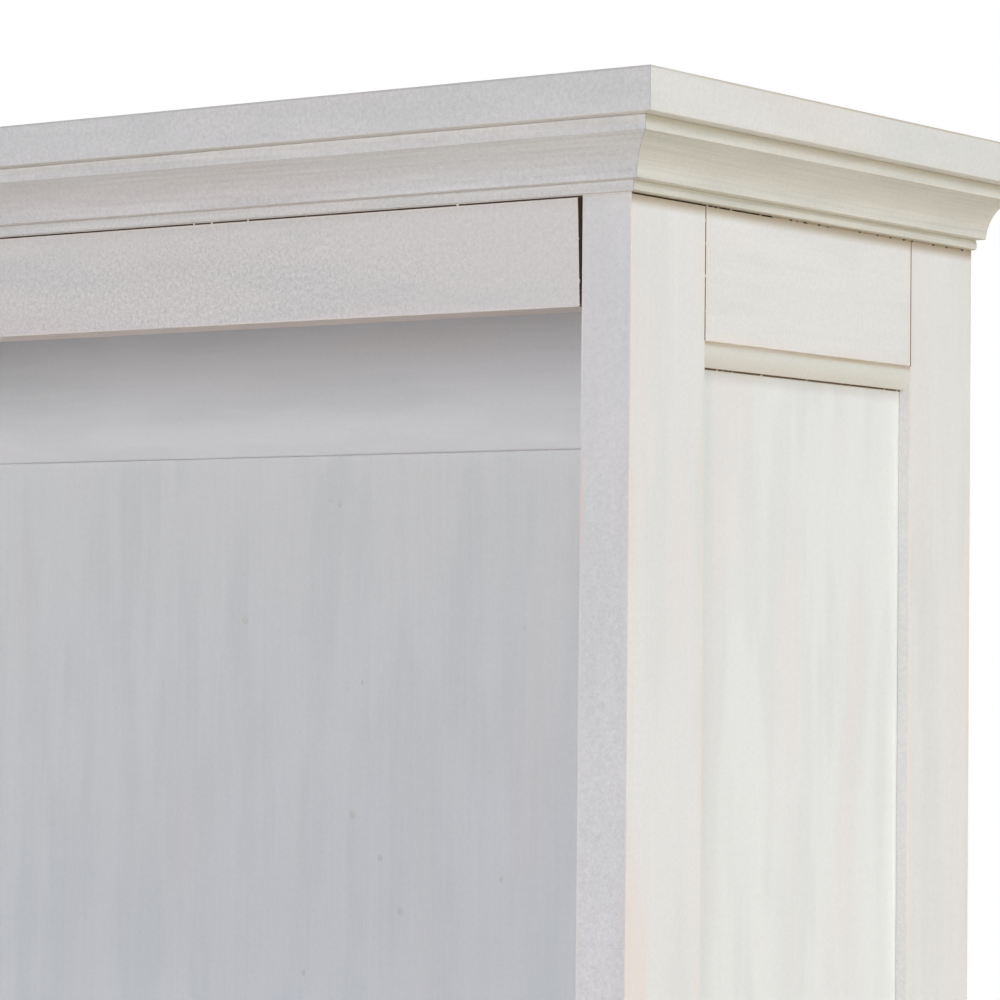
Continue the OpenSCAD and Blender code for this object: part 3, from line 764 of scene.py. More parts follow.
ALONG = 0.16                   # how much a pattern is drawn out along the grain
STRENGTHS = {                  # bands, stipple and streaks where they differ from 1
    "header_rail": (0.8, 1.15, 0.6), "front_post": (0.7, 0.85, 0.9),
    "crown_moulding": (0.8, 1.45, 6.0), "top_lipping": (0.9, 1.4, 0.9),
    "side_top_rail": (1, 1.3, 1), "side_upper_panel": (1, 0.8, 0.8),
    "back_upper_panel": (1, 0.4, 1.2), "back_top_rail": (0.8, 0.3, 0.8),
}
# These tints also paint in light and shade: the crown darker in front, the crown and beads on the side
# darker and yellower, the back rail cooler.
BATCH_AND_SHADE_TINTS = {                      # batches of paint, and painted light and shade
    "header_rail": (0.97, 0.95, 0.94), "top_lipping_front": (0.955, 0.955, 0.95),
    "top_lipping": (0.965, 0.965, 0.945), "crown_moulding_front": (0.925, 0.925, 0.935),
    "crown_moulding": (0.85, 0.85, 0.805), "front_post": (0.998, 1.0, 1.008),
    "side_beads": (0.925, 0.925, 0.88), "back_top_rail": (1.045, 1.03, 1.062),
    "back_upper_panel": (0.99, 0.985, 1.0), "side_upper_panel": (1.02, 1.04, 1.05),
}


def spot_values(name, place, size, share):
    """The attributes of one patch: its middle, its half sizes in metres, and its strength."""
    return {name: place, name + "_size": size, name + "_share": share}


# Hands rub the post low on its side, and on its inner arris at hand height. The post and the
# header were stippled again with a nearly dry brush.
hand_low = half_width, front_y + 12 * MM, cad_high.z - 0.66
hand_high = inner_x, front_y, cad_high.z - 0.29
post_middle = half_width - 20 * MM, front_y, cad_high.z - 0.75
header_foot = 0.14, header_low.y, header_low.z + 26 * MM
RUBS = {
    "front_post_right": spot_values("rub_a", hand_low, (0.01, 0.020, 0.22), 0.6)
    | spot_values("rub_b", hand_high, (0.003, 0.01, 0.07), 0.9)
    | spot_values("mottle", post_middle, (0.05, 0.05, 0.62), 0.7),
    "header_rail": spot_values("mottle", header_foot, (0.32, 0.05, 0.055), 1.1),
}
SHADED_LEDGES = {                     # levels of two ledges, and how much dust and painted shade lie under them
    "side_upper_panel": (rail_low.z - BEAD_H * MM, 0, 0.25),
    "side_lower_panel": (waist_low.z - BEAD_H * MM, 0, 0.25),
}
UNDERSIDE_LIGHT_SHARES = {"top_lipping": 0.4, "crown_moulding": 0.6}   # undersides with less of the painted light


def pick(table, name, otherwise):
    return next((value for key, value in table.items() if name.startswith(key)), otherwise)


def finish_values(name, seed, low, high, long_way=None):
    """The attributes of a piece. Its pattern is drawn out along the axis long_way."""
    values = {
        "box_low": low, "box_high": high, "seed": seed,
        "grain": [ALONG if i == long_way else 1 for i in range(3)],
        "paint": pick(STRENGTHS, name, (1, 1, 1)),
        "tint_and_shade": pick(BATCH_AND_SHADE_TINTS, name, (1, 1, 1)),
        "shaded_ledges": pick(SHADED_LEDGES, name, (crown_low.z, lipping_low.z, 1)),
        "underside_light_share": pick(UNDERSIDE_LIGHT_SHARES, name, 1),
    }
    return values | pick(RUBS, name, {})


# %% Ease all flat wooden pieces
wooden = [n for n in nodes if slot_of[n] in ("whitewash", "inside_whitewash", "bare_wood")]
swept = [n for n in wooden if "moulding" in n or "lipping" in n or n == "side_beads"]
rail_boxes = [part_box(n) for n in nodes if "rail" in n and "door" not in n]
levels = sorted({round(corner.z, 6) for box in rail_boxes for corner in box})
for number, name in enumerate(wooden):
    if name in swept:
        continue
    low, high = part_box(name)
    size = high - low
    upright = "panel" in name and name != "ceiling_panel"
    long_way = 2 if upright else max(range(3), key=lambda i: size[i])
    bm, box_low, box_high = eased(name, levels if "post" in name else ())
    mesh = to_mesh(bm, "eased_" + name)
    shade(mesh)
    mark(mesh, finish_values(name, number + 1, box_low, box_high, long_way))
    add_piece(mesh, "eased_" + name, body_of_node[name], slot_of[name], name)
print("wooden pieces", len(wooden) - len(swept), "levels", [round(v, 3) for v in levels])

# %% [markdown]
# ## Mouldings by a rule
# A moulding is one section drawn out along a line. The sections of the crown and of the bead
# come from a few sizes: corners, each rounded by its own radius, with an arc for the cove. The
# paint is rubbed thin on an outer corner, and an inner one gets a warm yellow painted shade, so
# each point of a section also says how worn and how shaded it is.
#
# Geometry Nodes draw the section out. A mitre is a rule as well: at a mitred end each point
# moves on by as much as it stands out from the case, and that is what a saw at 45 degrees
# leaves. The edge wavers by a little, because these are planed and sanded by hand. A Boolean
# cut would give the same shape with worse faces.


# %% Geometry from nodes
class Geometry(Nodes):
    """A Geometry Nodes group with named inputs that makes one plain mesh."""

    def __init__(self, name, inputs):
        super().__init__(bpy.data.node_groups.new(name, "GeometryNodeTree"))
        sockets = self.tree.interface
        sockets.new_socket("Geometry", in_out="OUTPUT", socket_type="NodeSocketGeometry")
        self.keys = {
            label: sockets.new_socket(label, in_out="INPUT", socket_type="NodeSocket" + kind).identifier
            for label, kind in (inputs | {"Material": "Material"}).items()
        }
        group_input = self.tree.nodes.new("NodeGroupInput")
        self.given = {label: Value(self, group_input.outputs[label]) for label in self.keys}

    def named(self, attribute, kind="FLOAT"):
        return self.node("GeometryNodeInputNamedAttribute", {"Name": attribute}, data_type=kind)

    def end(self, geometry):
        real = self.node("GeometryNodeRealizeInstances", {0: geometry})
        painted = self.node("GeometryNodeSetMaterial", {0: real, "Material": self.given["Material"]})
        group_output = self.tree.nodes.new("NodeGroupOutput")
        self.tree.links.new(painted.socket, group_output.inputs[0])

    def placed(self, along, outward, rise):
        """A place from the run's start: so far along it, out from it, and up."""
        aside = self.scaled(self.given["Outward"], outward)
        aside = self.vector("ADD", aside, self.scaled((0, 0, 1), rise))
        ahead = self.vector("ADD", self.scaled(self.given["Along"], along), aside)
        return self.vector("ADD", self.given["Start"], ahead)

    def build(self, name, values):
        host = in_scene(name, bpy.data.meshes.new(name))
        modifier = host.modifiers.new("rule", "NODES")
        modifier.node_group = self.tree
        for label, value in values.items():
            modifier[self.keys[label]] = value
        graph = bpy.context.evaluated_depsgraph_get()
        mesh = bpy.data.meshes.new_from_object(host.evaluated_get(graph))
        bpy.data.objects.remove(host)
        outward(mesh)
        return mesh


def outward(mesh):
    """Turns all faces round if the mesh is inside out."""
    bm = bmesh.new()
    bm.from_mesh(mesh)
    if bm.calc_volume(signed=True) < 0:
        bmesh.ops.reverse_faces(bm, faces=bm.faces)
        bm.to_mesh(mesh)
    bm.free()


# %% Sections from corners
WORN_FADE, SHADE_FADE = 0.9, 2.0       # mm from a corner to where its wear, or its painted shade, ends
# An inner corner of a section gets this much painted shade.
CORNER_SHADE = 0.75
MOST_OF_SIDE = 0.45            # the fade stops before the middle of a side of the section
ROUND_STEPS = (0, 0.25, 0.5, 0.75, 1)


def section(corners):
    """Points (out, up, worn, shaded) of a closed section, from corners (out, up, radius)."""
    points = []
    for i, (x, y, radius) in enumerate(corners):
        corner = Vector((x, y))
        if not radius:
            points.append((x, y, 0, 0))
            continue
        before = Vector(corners[i - 1][:2]) - corner
        after = Vector(corners[(i + 1) % len(corners)][:2]) - corner
        outer = before.x * after.y - before.y * after.x < 0
        worn, shaded = (1, 0) if outer else (0, CORNER_SHADE)
        cut = radius / math.tan(before.angle(after) / 2)
        start, end = (corner + way.normalized() * cut for way in (before, after))
        fade = WORN_FADE if outer else SHADE_FADE
        rims = [
            corner + way.normalized() * min(cut + fade, MOST_OF_SIDE * way.length)
            for way in (before, after)
        ]
        curve = [(1 - t) ** 2 * start + 2 * t * (1 - t) * corner + t ** 2 * end for t in ROUND_STEPS]
        points.append((*rims[0], 0, 0))
        points += [(*spot, worn, shaded) for spot in curve]
        points.append((*rims[1], 0, 0))
    return points


def on_arc(centre, radius, angle):
    """The spot on an arc at an angle in degrees."""
    turn = math.radians(angle)
    return centre[0] + radius * math.cos(turn), centre[1] + radius * math.sin(turn)


def arc(centre, radius, start, end, steps):
    """Plain corners along an arc, without its two ends."""
    angles = [start + (end - start) * i / steps for i in range(1, steps)]
    return [(*on_arc(centre, radius, angle), 0) for angle in angles]


def section_object(name, points):
    mesh = bpy.data.meshes.new(name)
    ring = [(i, (i + 1) % len(points)) for i in range(len(points))]
    mesh.from_pydata([(x * MM, y * MM, 0) for x, y, _, _ in points], ring, [])
    for key, row, scale in (("out", 0, MM), ("up", 1, MM), ("worn", 2, 1), ("glaze_and_shade", 3, 1)):
        write(mesh, key, [p[row] * scale for p in points])
    return in_scene(name, mesh)


# %% The rule of a moulding
WAVES = 9.0                    # to a metre of a moulding's edge

moulding = Geometry("moulding", {
    "Section": "Object", "Start": "Vector", "Along": "Vector", "Outward": "Vector", "Length": "Float",
    "Start mitre": "Float", "End mitre": "Float", "Stations": "Int", "Waver": "Float", "Seed": "Float",
})
given = moulding.given
outline = moulding.node("GeometryNodeObjectInfo", {"Object": given["Section"]}, "Geometry")
outline = moulding.node("GeometryNodeMeshToCurve", {0: outline})
line = moulding.node("GeometryNodeCurvePrimitiveLine", {"End": (1, 0, 0)})
line = moulding.node("GeometryNodeResampleCurve", {0: line, "Count": given["Stations"]})
line = moulding.node("GeometryNodeStoreNamedAttribute", {
    0: line, "Name": "way", "Value": moulding.node("GeometryNodeSplineParameter"),
})
drawn = moulding.node("GeometryNodeCurveToMesh", {0: line, 1: outline, "Fill Caps": True})
way, out, rise = (moulding.named(key) for key in ("way", "out", "up"))
waver = moulding.node("ShaderNodeTexNoise", {
    "W": way * given["Length"] + given["Seed"], "Scale": WAVES, "Detail": 2.0,
}, noise_dimensions="1D")
out = out - given["Waver"] * waver
mitre = way * given["End mitre"] - (1 - way) * given["Start mitre"]
moulding.end(moulding.node("GeometryNodeSetPosition", {
    0: drawn, "Position": moulding.placed(way * given["Length"] + mitre * out, out, rise),
}))

# %% Sections of the crown and of the bead, in mm
CROWN_BACK = 6                 # how far a moulding's back lies behind the posts' faces
COVE_H, FILLET_OUT = 46, 33.5
COVE_CENTRE, COVE_R = (45.5, 5.0), 33
NOSE_H, NOSE_OUT, NOSE_R = 7.5, 4.9, 6
LIP_OUT, LIP_BACK = 44.5, -25.5
BEAD_OUT, BEAD_R, QUIRK = 9.5, 24, 1.5
FOOT_LIP, FOOT_GAP = 0.8, 0.9
CRISP, SOFT = 0.2, 0.5         # radii of most corners
NOSE_STEPS, COVE_STEPS, BEAD_STEPS = 8, 18, 10
COVE_SHADE = 0.35              # painted shade deep in the cove
COVE_SHADE_FOOT, COVE_SHADE_FADE = 12, 9       # where it begins, and over what height it grows
LIP_DUST = 1.5                 # brown dust lies along this much of the lipping's upper arris
QUIRK_SHADE, QUIRK_FADE = 1.4, 1.8             # painted shade stands thick in the quirk over the bead
BEAD_SHADE = 0.25              # and some lies on the bead's lower half
BEAD_SHADE_FOOT, BEAD_SHADE_FADE = 8, 40       # from so far down, and how slowly it grows

nose_x = NOSE_OUT - NOSE_R
nose_turn = math.degrees(math.asin(NOSE_H / 2 / NOSE_R))
nose_side = nose_x + NOSE_R * math.cos(math.radians(nose_turn))
cove_foot = 180 - math.degrees(math.asin((NOSE_H - COVE_CENTRE[1]) / COVE_R))
cove_head = math.degrees(math.acos((FILLET_OUT - COVE_CENTRE[0]) / COVE_R))
cove_ends = [on_arc(COVE_CENTRE, COVE_R, angle) for angle in (cove_foot, cove_head)]
cove_top = cove_ends[1][1]
cove_corners = [
    (-CROWN_BACK, 0, 0), (0, 0, 0), (nose_side, 0, CRISP),
    *arc((nose_x, NOSE_H / 2), NOSE_R, -nose_turn, nose_turn, NOSE_STEPS),
    (nose_side, NOSE_H, SOFT), (*cove_ends[0], SOFT),
    *arc(COVE_CENTRE, COVE_R, cove_foot, cove_head, COVE_STEPS),
    (*cove_ends[1], SOFT), (FILLET_OUT, COVE_H, 0.9), (-CROWN_BACK, COVE_H, 0),
]
lip_h = (lipping_high.z - lipping_low.z) / MM
lip_corners = [(LIP_BACK, 0, 0), (LIP_OUT, 0, 1.6), (LIP_OUT, lip_h, 1.1), (LIP_BACK, lip_h, 0)]
bead_centre = (BEAD_OUT - BEAD_R, -QUIRK)
bead_turn = math.degrees(math.asin((BEAD_H - FOOT_GAP - QUIRK) / BEAD_R))
bead_foot = bead_centre[0] + BEAD_R * math.cos(math.radians(bead_turn))
bead_corners = [
    (0, -BEAD_H, 0), (FOOT_LIP, -BEAD_H, 0),
    (FOOT_LIP, FOOT_GAP - BEAD_H, CRISP), (bead_foot, FOOT_GAP - BEAD_H, SOFT),
    *arc(bead_centre, BEAD_R, -bead_turn, 0, BEAD_STEPS),
    (BEAD_OUT, -QUIRK, SOFT), (BEAD_OUT - QUIRK, -QUIRK, SOFT),
    (BEAD_OUT - QUIRK, 0, 0), (0, 0, 0),
]


# %% Where their painted shade lies, by height in mm, and the sections as objects
def cove_shade(up):
    """Painted shade deep in the hollow, warm like old glazing."""
    depth = min(up - COVE_SHADE_FOOT, cove_top - up)
    return COVE_SHADE * min(1, depth / COVE_SHADE_FADE)


def bead_shade(up):
    """Painted shade: thick in the quirk over the bead, and thin on the bead's lower half."""
    quirk = min(QUIRK_SHADE, QUIRK_SHADE + (up + QUIRK) / QUIRK_FADE)
    return max(quirk, min(BEAD_SHADE, -(up + BEAD_SHADE_FOOT) / BEAD_SHADE_FADE))


sections = {
    "crown_moulding": section_object("cove_section", [
        (x, y, worn, max(shaded, cove_shade(y))) for x, y, worn, shaded in section(cove_corners)
    ]),
    "top_lipping": section_object("lip_section", [     # its lower arris is clean
        (x, y, 0, float(y > lip_h - LIP_DUST and x > 0)) for x, y, _, _ in section(lip_corners)
    ]),
    "side_beads": section_object("bead_section", [     # the arris by the quirk isn't rubbed
        (x, y, worn * (y < -QUIRK - 1), max(shaded, bead_shade(y)))
        for x, y, worn, shaded in section(bead_corners)
    ]),
}
print("points in the sections", [len(made.data.vertices) for made in sections.values()])

# %% Draw out the crown and the beads
MITRE_OPEN = 0.12 * MM
FRONT, BACK = Vector((0, -1, 0)), Vector((0, 1, 0))
RIGHT, LEFT = Vector((1, 0, 0)), Vector((-1, 0, 0))
FAR_BOX = (Vector((-9, -9, -9)), Vector((9, 9, 9)))    # these pieces have no box-shaped arrises
STATION = 0.045                # metres between two stations along a moulding
WAVER = 0.25 * MM              # how much an edge wavers
AT_FOOT = 1.2 * FOOT_LIP * MM  # what stands out less from a panel lies in the gap at a bead's foot
MITRE_STAIN = 0.5              # of what a joint has
STRAIGHT = 0.9                 # how much of a normal lies along an axis that a face looks along
CROWN_SEED, BEAD_SEED, JOINT_SEED, SPECK_SEED, BRIDGE_SEED = 70, 90, 95, 96, 97


def drawn_out(name, section_key, start, along, outward_way, length, mitres, seed):
    return moulding.build(name, {
        "Section": sections[section_key], "Start": start, "Along": along, "Outward": outward_way,
        "Length": length, "Start mitre": mitres[0], "End mitre": mitres[1],
        "Stations": max(2, round(length / STATION)), "Waver": WAVER, "Seed": seed,
        "Material": whitewash,
    })


def stain_cuts(mesh):
    """The sawn mitres, the crown's underside over the case and the gap at a bead's foot are dark."""
    stain = []
    for p in mesh.polygons:
        mitre = len(p.vertices) > 4 and p.normal.y < STRAIGHT
        foot = p.center.z < case_top and abs(p.center.x) < panel_high.x + AT_FOOT
        over_case = abs(p.center.x) < half_width and p.center.y > front_y
        inside = p.normal.z < -STRAIGHT and p.center.z < crown_low.z + LEVEL and over_case
        stain.append(MITRE_STAIN if mitre else float(foot or inside))
    write(mesh, "joint", stain, "FACE")


def finish_swept(mesh, name, seed, long_way):
    stain_cuts(mesh)
    mark(mesh, finish_values(name, seed, *FAR_BOX, long_way))
    mesh.shade_smooth()
    mesh.set_sharp_from_angle(angle=SMOOTH_BELOW)
    piece = add_piece(mesh, "drawn_" + name, body_of_node[name], slot_of[name], name)
    flat = piece.modifiers.new("flat faces stay flat", "WEIGHTED_NORMAL")
    flat.keep_sharp = True


front_run = 2 * (half_width - MITRE_OPEN)
side_run = back_y - front_y - MITRE_OPEN
for key, foot in (("crown_moulding", crown_low.z), ("top_lipping", lipping_low.z)):
    runs = {
        "front": ((MITRE_OPEN - half_width, front_y, foot), RIGHT, FRONT, front_run, (1.0, 1.0), 0),
        "right": ((half_width, back_y, foot), FRONT, RIGHT, side_run, (0.0, 1.0), 1),
        "left": ((-half_width, back_y, foot), FRONT, LEFT, side_run, (0.0, 1.0), 1),
    }
    for number, (side, (*run, long_way)) in enumerate(runs.items()):
        name = f"{key}_{side}"
        seed = 2.7 * number + foot
        finish_swept(drawn_out(name, key, *run, seed), name, CROWN_SEED + number, long_way)

beads = bmesh.new()
between_posts = rear_low.y - post_high.y
for z in (rail_low.z, waist_low.z):
    for sign, way_out in ((1, RIGHT), (-1, LEFT)):
        start = (sign * panel_high.x, rear_low.y, z)
        run = start, FRONT, way_out, between_posts, (0.0, 0.0)
        beads.from_mesh(drawn_out("bead", "side_beads", *run, z * sign))
finish_swept(to_mesh(beads, "side_beads"), "side_beads", BEAD_SEED, 1)
for made in sections.values():
    bpy.data.objects.remove(made)
print("mouldings drawn", len(swept))

# %% [markdown]
# ## Paint in the joint under the crown
# The brush has filled parts of the open joint between the case and the crown: all of it over
# the front post, ragged stretches of it on the sides, and hardly any over the header. One rule
# makes every stretch: a fine grid of faces, of which a noise takes some away, as drying paint
# would. A painted mask could only darken the joint, and this gives real edges and depth.

# %% The rule of a broken strip of paint
CLING = 0.1 * MM               # above the middle by this much, paint clings to the crown's edge
CRUMBS = 160.0                 # to a metre
ROWS = 6                       # of points up the joint
NOISE_LOW, NOISE_SPAN = 0.25, 0.5      # nearly all values of the noise lie here

filler = Geometry("joint_paint", {
    "Start": "Vector", "Along": "Vector", "Outward": "Vector", "Length": "Float", "Height": "Float",
    "Columns": "Int", "Share": "Float", "Thickness": "Float", "Seed": "Float",
})
given = filler.given
grid = filler.node("GeometryNodeMeshGrid", {
    "Size X": given["Length"], "Size Y": given["Height"],
    "Vertices X": given["Columns"], "Vertices Y": ROWS,
})
position = filler.node("GeometryNodeInputPosition")
rough = filler.node("ShaderNodeTexNoise", {
    "Vector": position, "W": given["Seed"], "Scale": CRUMBS, "Detail": 3.0,
}, noise_dimensions="4D")
clings = filler.maths("GREATER_THAN", filler.split(position)[1], CLING)
bare = filler.maths("GREATER_THAN", rough - clings, NOISE_LOW + NOISE_SPAN * given["Share"])
kept = filler.node("GeometryNodeDeleteGeometry", {0: grid, "Selection": bare}, domain="FACE")
solid = filler.node("GeometryNodeExtrudeMesh", {
    0: kept, "Offset Scale": given["Thickness"], "Individual": False,
})
x, y, z = filler.split(position)
filler.end(filler.node("GeometryNodeSetPosition", {
    0: solid,
    "Position": filler.placed(x + 0.5 * given["Length"], z, y + 0.5 * given["Height"]),
}))

# %% Fill the joint
JOINT_DEPTH = 0.05 * MM        # how far the paint lies behind the faces
PROUD = 0.03 * MM              # or in front of them, where the joint is closed
COVERS = 0.3 * MM              # a closed joint's paint reaches down over the case's edge
HIDDEN = 0.3 * MM              # all of it reaches up behind the moulding's edge
# The last of these is the share of painted shade that the paint in the joint gets.
PAINT_T, COLUMN, JOINT_PAINT_SHADE = 0.3 * MM, 0.6 * MM, 0.5
OVER_POST, OVER_HEADER = 1.0, 0.14     # shares of the joint that paint fills
OVER_SIDE, OVER_DRY_END = 0.60, 0.34
dry_end = post_high.y + 85 * MM        # so far back from the post little paint got in
stretches = [
    ((inner_x, front_y), (half_width, front_y), FRONT, OVER_POST),
    ((-half_width, front_y), (-inner_x, front_y), FRONT, OVER_POST),
    ((-inner_x, front_y), (inner_x, front_y), FRONT, OVER_HEADER),
    ((half_width, dry_end), (half_width, back_y), RIGHT, OVER_SIDE),
    ((half_width, front_y), (half_width, post_high.y), RIGHT, OVER_HEADER),
    ((-half_width, front_y), (-half_width, back_y), LEFT, OVER_SIDE),
    ((half_width, post_high.y), (half_width, dry_end), RIGHT, OVER_DRY_END),
]
filled = bmesh.new()
for number, (start, end, outward_way, share) in enumerate(stretches):
    start, end = Vector((*start, case_top)), Vector((*end, case_top))
    length = (end - start).length
    depth, below = (-PROUD, COVERS) if share == OVER_POST else (JOINT_DEPTH, 0)
    filled.from_mesh(filler.build("joint_paint", {
        "Start": start - outward_way * (depth + PAINT_T) - Vector((0, 0, below)),
        "Along": (end - start).normalized(), "Outward": outward_way, "Length": length,
        "Height": crown_low.z - case_top + below + HIDDEN,
        "Columns": round(length / COLUMN), "Share": share, "Thickness": PAINT_T,
        "Seed": 3.1 * number, "Material": whitewash,
    }))
bmesh.ops.recalc_face_normals(filled, faces=filled.faces)
mesh = to_mesh(filled, "joint_paint")
mark(mesh, finish_values("joint_paint", JOINT_SEED, *FAR_BOX) | {"glaze_and_shade": JOINT_PAINT_SHADE})
add_piece(mesh, "joint_paint", "case", "whitewash")
print("faces of paint in the joint", len(mesh.polygons))

# %% [markdown]
# ## Small things that repeat
# Screws hold the hinges, strikes and catches, a few specks of dirt have dried into the paint
# of the back panel, and drops of paint bridge the joint in front. They are too many and too
# small for nodes of their own in the CAD model. One rule sets a thing on points: it turns the
# thing to the way the point faces and gives it the point's size.

# %% The rule of things on points
on_points = Geometry("things_on_points", {
    "Points": "Object", "Thing": "Object", "Turn": "Float", "Seed": "Int",
})
given = on_points.given
spots, thing = (
    on_points.node("GeometryNodeObjectInfo", {"Object": given[key]}, "Geometry")
    for key in ("Points", "Thing")
)
spin = on_points.node("FunctionNodeRandomValue", {
    2: 0.0, 3: given["Turn"], "Seed": given["Seed"],
}, 1, data_type="FLOAT")
spin = on_points.node("FunctionNodeAxisAngleToRotation", {"Axis": (0, 0, 1), "Angle": spin})
turned = on_points.node("FunctionNodeAlignRotationToVector", {
    "Vector": on_points.named("facing", "FLOAT_VECTOR"),
}, axis="Z")
turned = on_points.node("FunctionNodeRotateRotation", {
    "Rotation": turned, "Rotate By": spin,
}, rotation_space="LOCAL")
on_points.end(on_points.node("GeometryNodeInstanceOnPoints", {
    "Points": spots, "Instance": thing, "Rotation": turned, "Scale": on_points.named("size"),
}))

# %% Things: a screw head with a cross, and a blob of paint
SLOT, SLOT_REACH, SLOT_DEPTH, HEAD_RISE = 0.16, 0.62, 0.25, 0.12   # shares of the head's radius
CHAMFER = 0.9
ROUND = 24
BLOB_SHAPE = (1, 0.8, 0.08)    # half its length, width and thickness


def screw_head():
    """A flat head of radius 1 with a chamfered rim and a cross cut into it."""
    bm = bmesh.new()
    angles = [math.tau * i / ROUND for i in range(ROUND)]
    arm = [Vector(p) for p in ((SLOT, -SLOT), (SLOT_REACH, -SLOT), (SLOT_REACH, SLOT))]
    quarters = [Matrix.Rotation(quarter * math.pi / 2, 2) for quarter in range(4)]
    cross = [turn @ p for turn in quarters for p in arm]
    rings = [
        [bm.verts.new((r * math.cos(a), r * math.sin(a), z)) for a in angles]
        for r, z in ((1, -HEAD_RISE), (1, HEAD_RISE / 2), (CHAMFER, HEAD_RISE))
    ]
    depths = (HEAD_RISE, HEAD_RISE - SLOT_DEPTH)
    cuts = [[bm.verts.new((x, y, z)) for x, y in cross] for z in depths]
    for lower, upper in (rings[:2], rings[1:], cuts):
        for i, v in enumerate(lower):
            after = (i + 1) % len(lower)
            bm.faces.new((v, lower[after], upper[after], upper[i]))
    bm.faces.new(cuts[1])
    bm.faces.new(rings[0])
    top = [e for e in bm.edges if all(v in rings[2] or v in cuts[0] for v in e.verts)]
    bmesh.ops.triangle_fill(bm, use_beauty=True, edges=top)
    bmesh.ops.recalc_face_normals(bm, faces=bm.faces)
    return bm


def blob_of_paint():
    """A flat blob of radius 1."""
    bm = bmesh.new()
    flat = Matrix.Diagonal((*BLOB_SHAPE, 1))
    bmesh.ops.create_icosphere(bm, subdivisions=2, radius=1, matrix=flat)
    return bm


def set_things(name, body, finish, thing, rows, turn, seed):
    """One piece from rows of (place, way it faces, size)."""
    places, ways, sizes = zip(*rows)
    mesh = bpy.data.meshes.new("points")
    mesh.from_pydata(places, [], [])
    write(mesh, "facing", ways)
    write(mesh, "size", sizes)
    host = in_scene("points", mesh)
    made = on_points.build(name, {
        "Points": host, "Thing": thing, "Turn": turn, "Seed": seed, "Material": finish_of[finish],
    })
    bpy.data.objects.remove(host)
    return add_piece(made, name, body, finish)


# %% Screws where the leaves, strikes and catches are
LEAF_T = 1.5 * MM
HINGE_HEAD, STRIKE_HEAD, CATCH_HEAD = 3.2 * MM, 2.0 * MM, 2.5 * MM
LEAF_SCREWS = ((-0.33, 0.45), (0, 0.68), (0.33, 0.45))     # up and across, as shares of a leaf
STRIKE_SCREWS, CATCH_SCREWS = 0.3, 0.38        # from the middle, as shares of the width
SCREW_TURN = 1.5               # radians by which crosses may differ


def loose_boxes(name):
    """The box of each separate solid of a node."""
    bm = welded(name)
    left, boxes = set(bm.verts), []
    while left:
        group, edge_of = set(), [left.pop()]
        while edge_of:
            v = edge_of.pop()
            group.add(v)
            near = {e.other_vert(v) for e in v.link_edges} & left
            left -= near
            edge_of += near
        boxes.append(tuple(
            Vector(pick_of(v.co[i] for v in group) for i in range(3)) for pick_of in (min, max)
        ))
    bm.free()
    return sorted(boxes, key=lambda box: tuple(box[0]))


def leaf_rows(name, on_post):
    rows = []
    for low, high in loose_boxes(name):
        side = 1 if low.x + high.x > 0 else -1
        x = max(abs(low.x), abs(high.x)) - (LEAF_T if on_post else 0)
        way = LEFT * side if on_post else RIGHT * side
        for rise, across in LEAF_SCREWS:
            y = front_y + across * (high.y - front_y)
            z = (low.z + high.z) / 2 + rise * (high.z - low.z)
            rows.append(((side * x, y, z), way, HINGE_HEAD))
    return rows


def two_rows(low, high, apart, y, z, way, size):
    """Rows for two screws, each this share of the width from the middle."""
    x, reach = (low.x + high.x) / 2, apart * (high.x - low.x)
    return [((x + side * reach, y, z), way, size) for side in (-1, 1)]


head = in_scene("screw_head", to_mesh(screw_head(), "screw_head"))
post_rows = leaf_rows("hinge_frame_leaves", True)
set_things("hinge_screws_case", "case", "dark_bronze", head, post_rows, SCREW_TURN, 1)
catch_rows = []
for low, high in loose_boxes("door_catches"):
    y = (low.y + high.y) / 2
    catch_rows += two_rows(low, high, CATCH_SCREWS, y, low.z, (0, 0, -1), CATCH_HEAD)
set_things("catch_screws", "case", "steel", head, catch_rows, SCREW_TURN, 2)
for side in ("left", "right"):
    leaves = next(n for n in nodes if n.startswith("door_" + side) and "leaves" in n)
    body, door_rows = body_of_node[leaves], leaf_rows(leaves, False)
    low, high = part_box(f"door_{side}_strike")
    z = (low.z + high.z) / 2
    strike_rows = two_rows(low, high, STRIKE_SCREWS, high.y, z, BACK, STRIKE_HEAD)
    name = f"screws_door_{side}"
    set_things("hinge_" + name, body, "dark_bronze", head, door_rows, SCREW_TURN, 3)
    set_things("strike_" + name, body, "steel", head, strike_rows, SCREW_TURN, 4)
bpy.data.objects.remove(head)
print("screws in the case", len(post_rows + catch_rows), "in a door", len(door_rows + strike_rows))

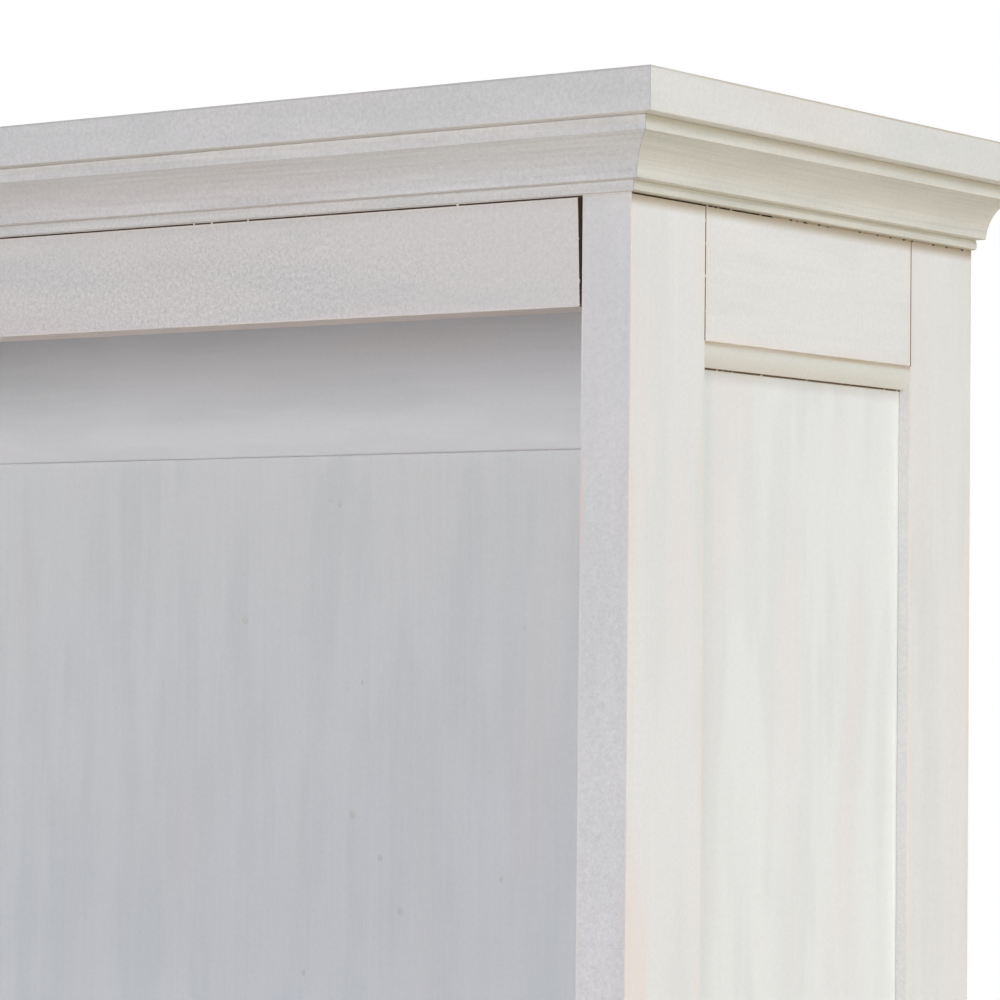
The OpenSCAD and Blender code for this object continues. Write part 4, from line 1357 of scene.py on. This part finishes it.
# %% Specks in the back panel, in mm from the case's right face and from the floor
SPECKS = (
    (-574, 1518), (-553, 1372), (-583, 1407), (-611, 1672), (-634, 1272),
    (-531, 1328), (-427, 1359), (-600, 1668), (-703, 1570), (-406, 1565),
)
SPECK_SIZES, SPECK_TINT = (2.2, 3.1, 4.0), (0.90, 0.885, 0.86)
BLOB_TURN = 3.0                # radians by which blobs may differ

blob = in_scene("blob", to_mesh(blob_of_paint(), "blob"))
back_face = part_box("back_upper_panel")[0].y
rows = [
    ((half_width + x * MM, back_face, z * MM), FRONT, SPECK_SIZES[i % 3] * MM)
    for i, (x, z) in enumerate(SPECKS)
]
specks = set_things("paint_specks", "case", "inside_whitewash", blob, rows, BLOB_TURN, 5)
mark(specks.data, finish_values("specks", SPECK_SEED, *FAR_BOX) | {"tint_and_shade": SPECK_TINT})
print("specks", len(rows))

# %% Bridges of paint over the joint in front, in mm from the cabinet's middle
BRIDGES = (149, 166, 200, 388)
BRIDGE_SIZES, BRIDGE_TINT = (1.1, 1.4), (1.1, 1.03, 0.95)
SUNK = 0.15 * MM               # how far a bridge's middle lies behind the face

joint_middle = (case_top + crown_low.z) / 2
rows = [
    ((x * MM, front_y + SUNK, joint_middle), FRONT, BRIDGE_SIZES[i % 2] * MM)
    for i, x in enumerate(BRIDGES)
]
bridges = set_things("paint_bridges", "case", "whitewash", blob, rows, BLOB_TURN, 6)
mark(bridges.data, finish_values("bridges", BRIDGE_SEED, *FAR_BOX) | {"tint_and_shade": BRIDGE_TINT})
bpy.data.objects.remove(blob)
print("bridges", len(rows))

# %% Hardware keeps its solids and gets its finish
for name in nodes:
    if name in wooden:
        continue
    mesh = to_mesh(welded(name), "smooth_" + name)
    mesh.shade_smooth()
    mesh.set_sharp_from_angle(angle=SMOOTH_BELOW)
    add_piece(mesh, "smooth_" + name, body_of_node[name], slot_of[name], name)
print("hardware pieces", len(nodes) - len(wooden))

# %% Both boxes, of the CAD model and of the dressed scene
visual_low, visual_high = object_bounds()
for label, corners in (("cad", (*cad_low, *cad_high)), ("visual", (*visual_low, *visual_high))):
    print(label, "box", [round(v, 4) for v in corners])
